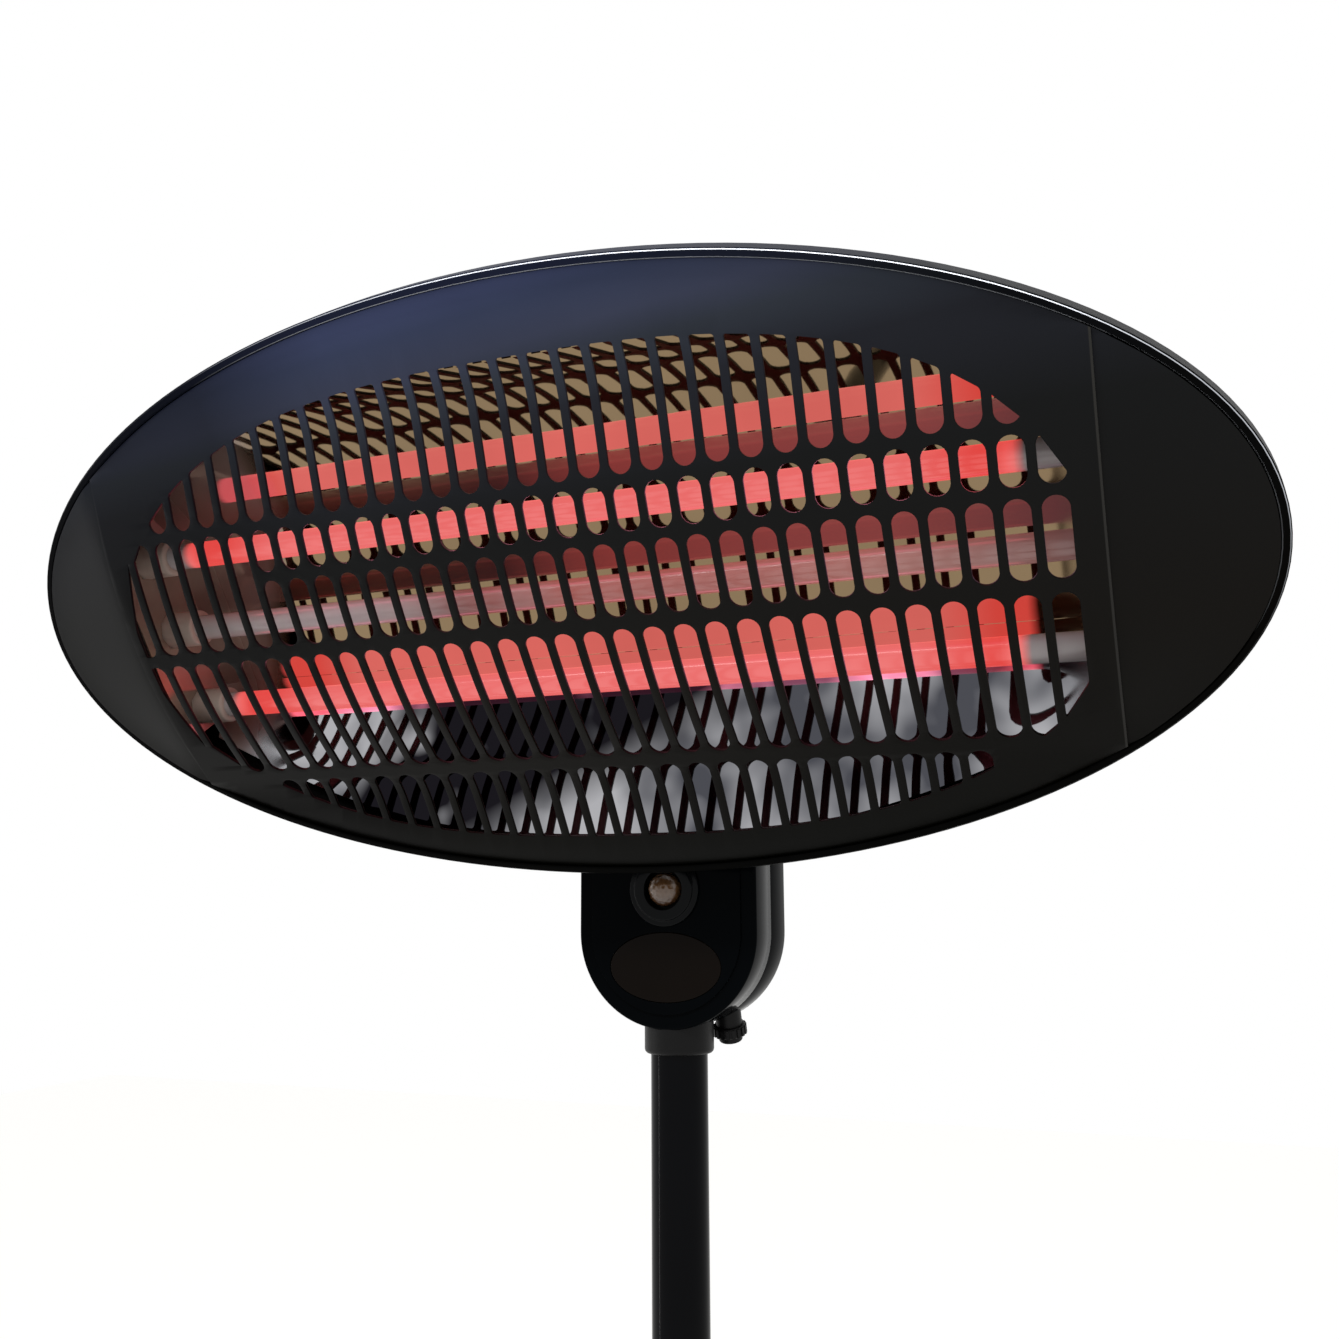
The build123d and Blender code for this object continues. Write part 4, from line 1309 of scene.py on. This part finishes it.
dish = {
    "a": 0.255,
    "b": 0.1256,
    # the rolled lip: change of half width and of half height, and depth
    "lip": ((-0.0095, -0.0096, -0.0152), (-0.0032, -0.0033, -0.0152), (-0.0032, -0.0033, -0.0129),
            (-0.0027, -0.0028, -0.0124), (-0.0008, -0.0008, -0.0124), (0.0, 0.0, -0.0132),
            (0.0, 0.0, -0.0220)),
    "front": -0.022,
    "drawIn": 0.050,        # how far the dish draws in at either side
    "heightFall": (1.13, 2.36),      # how its height and depth change as it draws in
    "depthFall": (1.583, 11.66),
    "steps": 16,
    "count": 160,
    "wall": 0.0012,
    "back": -0.0720,
    "vent": (0.003, 0.022),      # half width and half height
    "ventRound": 0.98,      # of the half width
    "ventFirst": 0.078,
    "ventPitch": 0.014,
    "ventCount": 7,
    "ventMiddle": 0.008,
    "leadHole": (0.0061, 0.022, 32),      # radius, place up the face and corners
}


def dishRing(drawn):
    # half width, half height and depth where the dish is drawn in by a distance
    fall, hollow = dish["heightFall"]
    slope, curve = dish["depthFall"]
    return (dish["a"] - drawn, dish["b"] - drawn * (fall - hollow * drawn),
            dish["front"] - drawn * (slope - curve * drawn))


def makeRearHousing():
    rings = [(dish["a"] + da, dish["b"] + db, n) for da, db, n in dish["lip"]]
    steps = dish["steps"]
    rings += [dishRing(dish["drawIn"] * (i + 1) / steps) for i in range(steps)]
    bm = bmesh.new()
    loops = [edgesOf(ovalLoop(bm, dish["count"], *ring)) for ring in rings]
    for first, second in zip(loops, loops[1:]):
        bmesh.ops.bridge_loops(bm, edges=first + second)
    edges = list(loops[-1])
    back = rings[-1][2]
    half, high = dish["vent"]
    for side in (-1, 1):
        for i in range(dish["ventCount"]):
            spot = (side * (dish["ventFirst"] + dish["ventPitch"] * i), dish["ventMiddle"])
            corners = boxCorners(half, high, half * dish["ventRound"], 4, centre=spot)
            edges += outlineEdges(bm, corners, at(0, 0, back))
    radius, s, count = dish["leadHole"]
    edges += edgesOf(ovalLoop(bm, count, radius, radius, back, (0, s)))
    fillFlat(bm, edges)
    giveWall(bm, dish["wall"], backward)
    placed("rearHousing", bm, "head", "dark_enamel", "rear_housing", onHead, look=housingLook)


makeRearHousing()
print("rear housing done")

# heating tubes

tubes = {
    "rows": {"upper": 0.0301, "middle": -0.0038, "lower": -0.0428},
    "depth": -0.032,
    "radius": 0.0055,
    "bore": 0.0045,
    "half": 0.196,
    "soft": 0.0006,
    "capRadius": 0.008,
    "capStart": 0.190,
    "shoulder": 0.208,
    "capEnd": 0.214,
    "capSoft": (0.0003, 0.0012, 0.0014, 0.0008),
    "capPlay": 0.0002,
}


def makeTubes():
    half, radius, wide, soft = tubes["half"], tubes["radius"], tubes["capRadius"], tubes["soft"]
    start, shoulder, end = tubes["capStart"], tubes["shoulder"], tubes["capEnd"]
    holeSoft, frontSoft, shoulderSoft, endSoft = tubes["capSoft"]
    floor = half + tubes["capPlay"]
    shape = [(radius, start, holeSoft), (wide, start, frontSoft), (wide, shoulder, shoulderSoft),
             (radius, shoulder), (radius, end, endSoft), (0, end), (0, floor), (radius, floor)]
    for row, s in tubes["rows"].items():
        spot = onHead @ at(0, s, tubes["depth"])
        tube = sleeve(tubes["bore"], radius, -half, half, soft, soft)
        placed("quartzTube_" + row, tube, "head", "milky_quartz", "quartz_tube_" + row, spot @ alongX,
               look=quartzLooks[row])
        for label, way in (("right", alongX), ("left", alongLeft)):
            name = row + "_" + label
            placed("tubeCap_" + name, turned(shape), "head", "ceramic", "tube_cap_" + name, spot @ way)


makeTubes()
print("tubes done")

# reflector

trough = {
    "half": 0.206,
    "a": 0.243,             # its corners are drawn to this oval
    "b": 0.113,
    "outlineCount": 192,
    "sheet": 0.0008,
    # height across the face, then depth, from flange to flange
    "folds": ((-0.1140, -0.0175), (-0.1105, -0.0175), (-0.0492, -0.0507), (-0.0403, -0.0520),
              (0.0276, -0.0520), (0.0365, -0.0507), (0.0930, -0.0205), (0.1140, -0.0205)),
    "clear": 0.0032,        # its corners stay this far inside the dish
    "deepest": 0.060,       # the dish's draw is looked for up to here, by halves
    "halvings": 20,
    "blend": 0.0100,
    "cell": 0.0030,
    "cornerFrom": 0.110,
    "cornerAbove": 0.038,
    "cornerBelow": -0.050,
}


def dishDepth(x, s):
    # depth of the dish behind a place on the face
    clear = trough["clear"]
    low, high = 0.0, trough["deepest"]
    for i in range(trough["halvings"]):
        middle = (low + high) / 2
        a, b, _ = dishRing(middle)
        inside = (x / (a - clear))**2 + (s / (b - clear))**2 < 1
        low, high = (middle, high) if inside else (low, middle)
    return dishRing(low)[2]


def troughDepth(x, s):
    folds, blend = trough["folds"], trough["blend"]
    (low, first), (high, last) = [pair for pair in zip(folds, folds[1:]) if s <= pair[1][0]][0]
    flat = first + (last - first) * (s - low) / (high - low)
    wall = dishDepth(x, s) + trough["clear"] / 2
    overlap = max(blend - abs(flat - wall), 0) / blend
    return max(flat, wall) + overlap**2 * blend / 4


def makeReflector():
    half, b, cell = trough["half"], trough["b"], trough["cell"]
    bm = ovalSheet(trough["outlineCount"], trough["a"], b)
    for side in (-1, 1):
        trimPast(bm, side * half, side)
    for s, _ in trough["folds"][1:-1]:
        cutAt(bm, (0, s, 0), (0, 1, 0))
    for axis, low, high in ((0, -half, -trough["cornerFrom"]), (0, trough["cornerFrom"], half),
                            (1, -b, trough["cornerBelow"]), (1, trough["cornerAbove"], b)):
        cutEvery(bm, axis, low, high, cell)
    bmesh.ops.remove_doubles(bm, verts=bm.verts, dist=1e-5)
    for vert in bm.verts:
        vert.co.z = troughDepth(vert.co.x, vert.co.y)
    giveWall(bm, trough["sheet"], frontward)
    placed("reflectorTrough", bm, "head", "bright_reflector", "reflector", onHead, sharp=6.0)


makeReflector()
print("reflector done")

# hinge at the back

hinge = {
    "gap": 0.0135,
    "sheet": 0.0025,
    "ear": 0.013,
    "earRound": 0.98,       # of the ear's half width
    "earSoft": 0.0004,
    "shoulder": 0.004,
    "high": -0.014,
    "low": 0.003,           # above the pivot
    "highCorner": 0.0015,
    "foot": 0.002,
    "footHalf": 0.040,
    "footCorner": 0.006,
    "footSoft": 0.0005,
    "screwSpots": [(x, y) for x in (-0.031, 0.031) for y in (-0.060, -0.024)],
    "screwHead": (0.0044, 0.0026, 0.0018),
    "bolt": 0.004,
    "boltEnd": 0.038,
    "boltSoft": 0.0006,
    "boltHead": (0.0075, 0.0053, 0.003, 6),
    "play": 0.0001,
    "knobGap": 0.0003,
    "knob": (0.020, 0.008, 0.023),      # radius, and its two faces along the bolt
    "hub": 0.010,
    "hubSoft": 0.001,
}
grommet = {
    "section": ((0.0035, -0.0024, 0.0006), (0.0085, -0.0024, 0.0012), (0.0085, 0.0), (0.006, 0.0),
                (0.006, 0.003), (0.0035, 0.003)),
}


def makeBracket():
    back, foot = dish["back"], hinge["foot"]
    s, n, ear, hole = toPivot.y, toPivot.z, hinge["ear"], hinge["bolt"] + hinge["play"]
    low, high = s + hinge["low"], hinge["high"]
    # one ear: flat against the back, round about the pivot
    bend = ear * hinge["earRound"]
    shape = [(high, back, hinge["highCorner"]), (low, back), (s - ear, n + hinge["shoulder"]),
             (s - ear, n - ear, bend, 12), (s + ear, n - ear, bend, 12), (s + ear, n)]
    flat = Matrix(((0, 0, 1, 0), (1, 0, 0, 0), (0, 1, 0, 0), (0, 0, 0, 1)))
    ears = []
    for x in (hinge["gap"], -hinge["gap"] - hinge["sheet"]):
        part = soften(slab(shape, hinge["sheet"], [(hole, hole, s, n)]), hinge["earSoft"], 2)
        ears.append(moved(part, at(x) @ flat))
    middle = (0, (low + high) / 2)
    corners = boxCorners(hinge["footHalf"], (high - low) / 2, hinge["footCorner"], centre=middle)
    base = moved(soften(slab(corners, foot), hinge["footSoft"], 2), at(0, 0, back - foot))
    placed("headBracket", joined(*ears, base), "head", "bracket_steel", "head_bracket", onHead)
    spots = [onHead @ at(x, y, back - foot) @ turnedBy(180, "X") for x, y in hinge["screwSpots"]]
    placeScrews("bracketScrews", "head", "bracket_screws", spots, hinge["screwHead"])


def makeHingeBolt():
    spot = onHead @ at(0, toPivot.y, toPivot.z)
    outside, bolt = hinge["gap"] + hinge["sheet"], hinge["bolt"]
    stem = sleeve(0, bolt, -outside, hinge["boltEnd"], 0, hinge["boltSoft"], steps=32)
    head = moved(boltHead(*hinge["boltHead"]), at(-outside, 0, 0) @ alongLeft)
    placed("pivotBolt", joined(moved(stem, alongX), head), "head", "zinc_steel", "pivot_bolt", spot)
    start = outside + hinge["knobGap"]
    radius, low, high = hinge["knob"]
    grip = starKnob(radius, start + low, start + high)
    hub = sleeve(bolt + hinge["play"], hinge["hub"], start, start + hinge["hub"], hinge["hubSoft"])
    placed("tiltKnob", joined(grip, hub), "tilt_grip", "black_moulding", "tilt_knob", spot @ alongX)


def makeLeadGrommet():
    ring = turned(grommet["section"])
    spot = onHead @ at(0, dish["leadHole"][1], dish["back"])
    placed("leadGrommet", ring, "head", "black_rubber", "cable_grommet", spot)


makeBracket()
makeHingeBolt()
makeLeadGrommet()
print("hinge done")


def finishKept():
    # finishes of the pieces that keep their own shape
    slots = {part["node"]: part["material_slot"] for part in frame["record"]["subparts"]}
    special = {"reflector_end_left": endMirrorLook, "reflector_end_right": endMirrorLook}
    for name, piece in frame["nodes"].items():
        look = special.get(name) or looks[slots[name]]
        for slot in piece.material_slots:
            slot.material = look


finishKept()
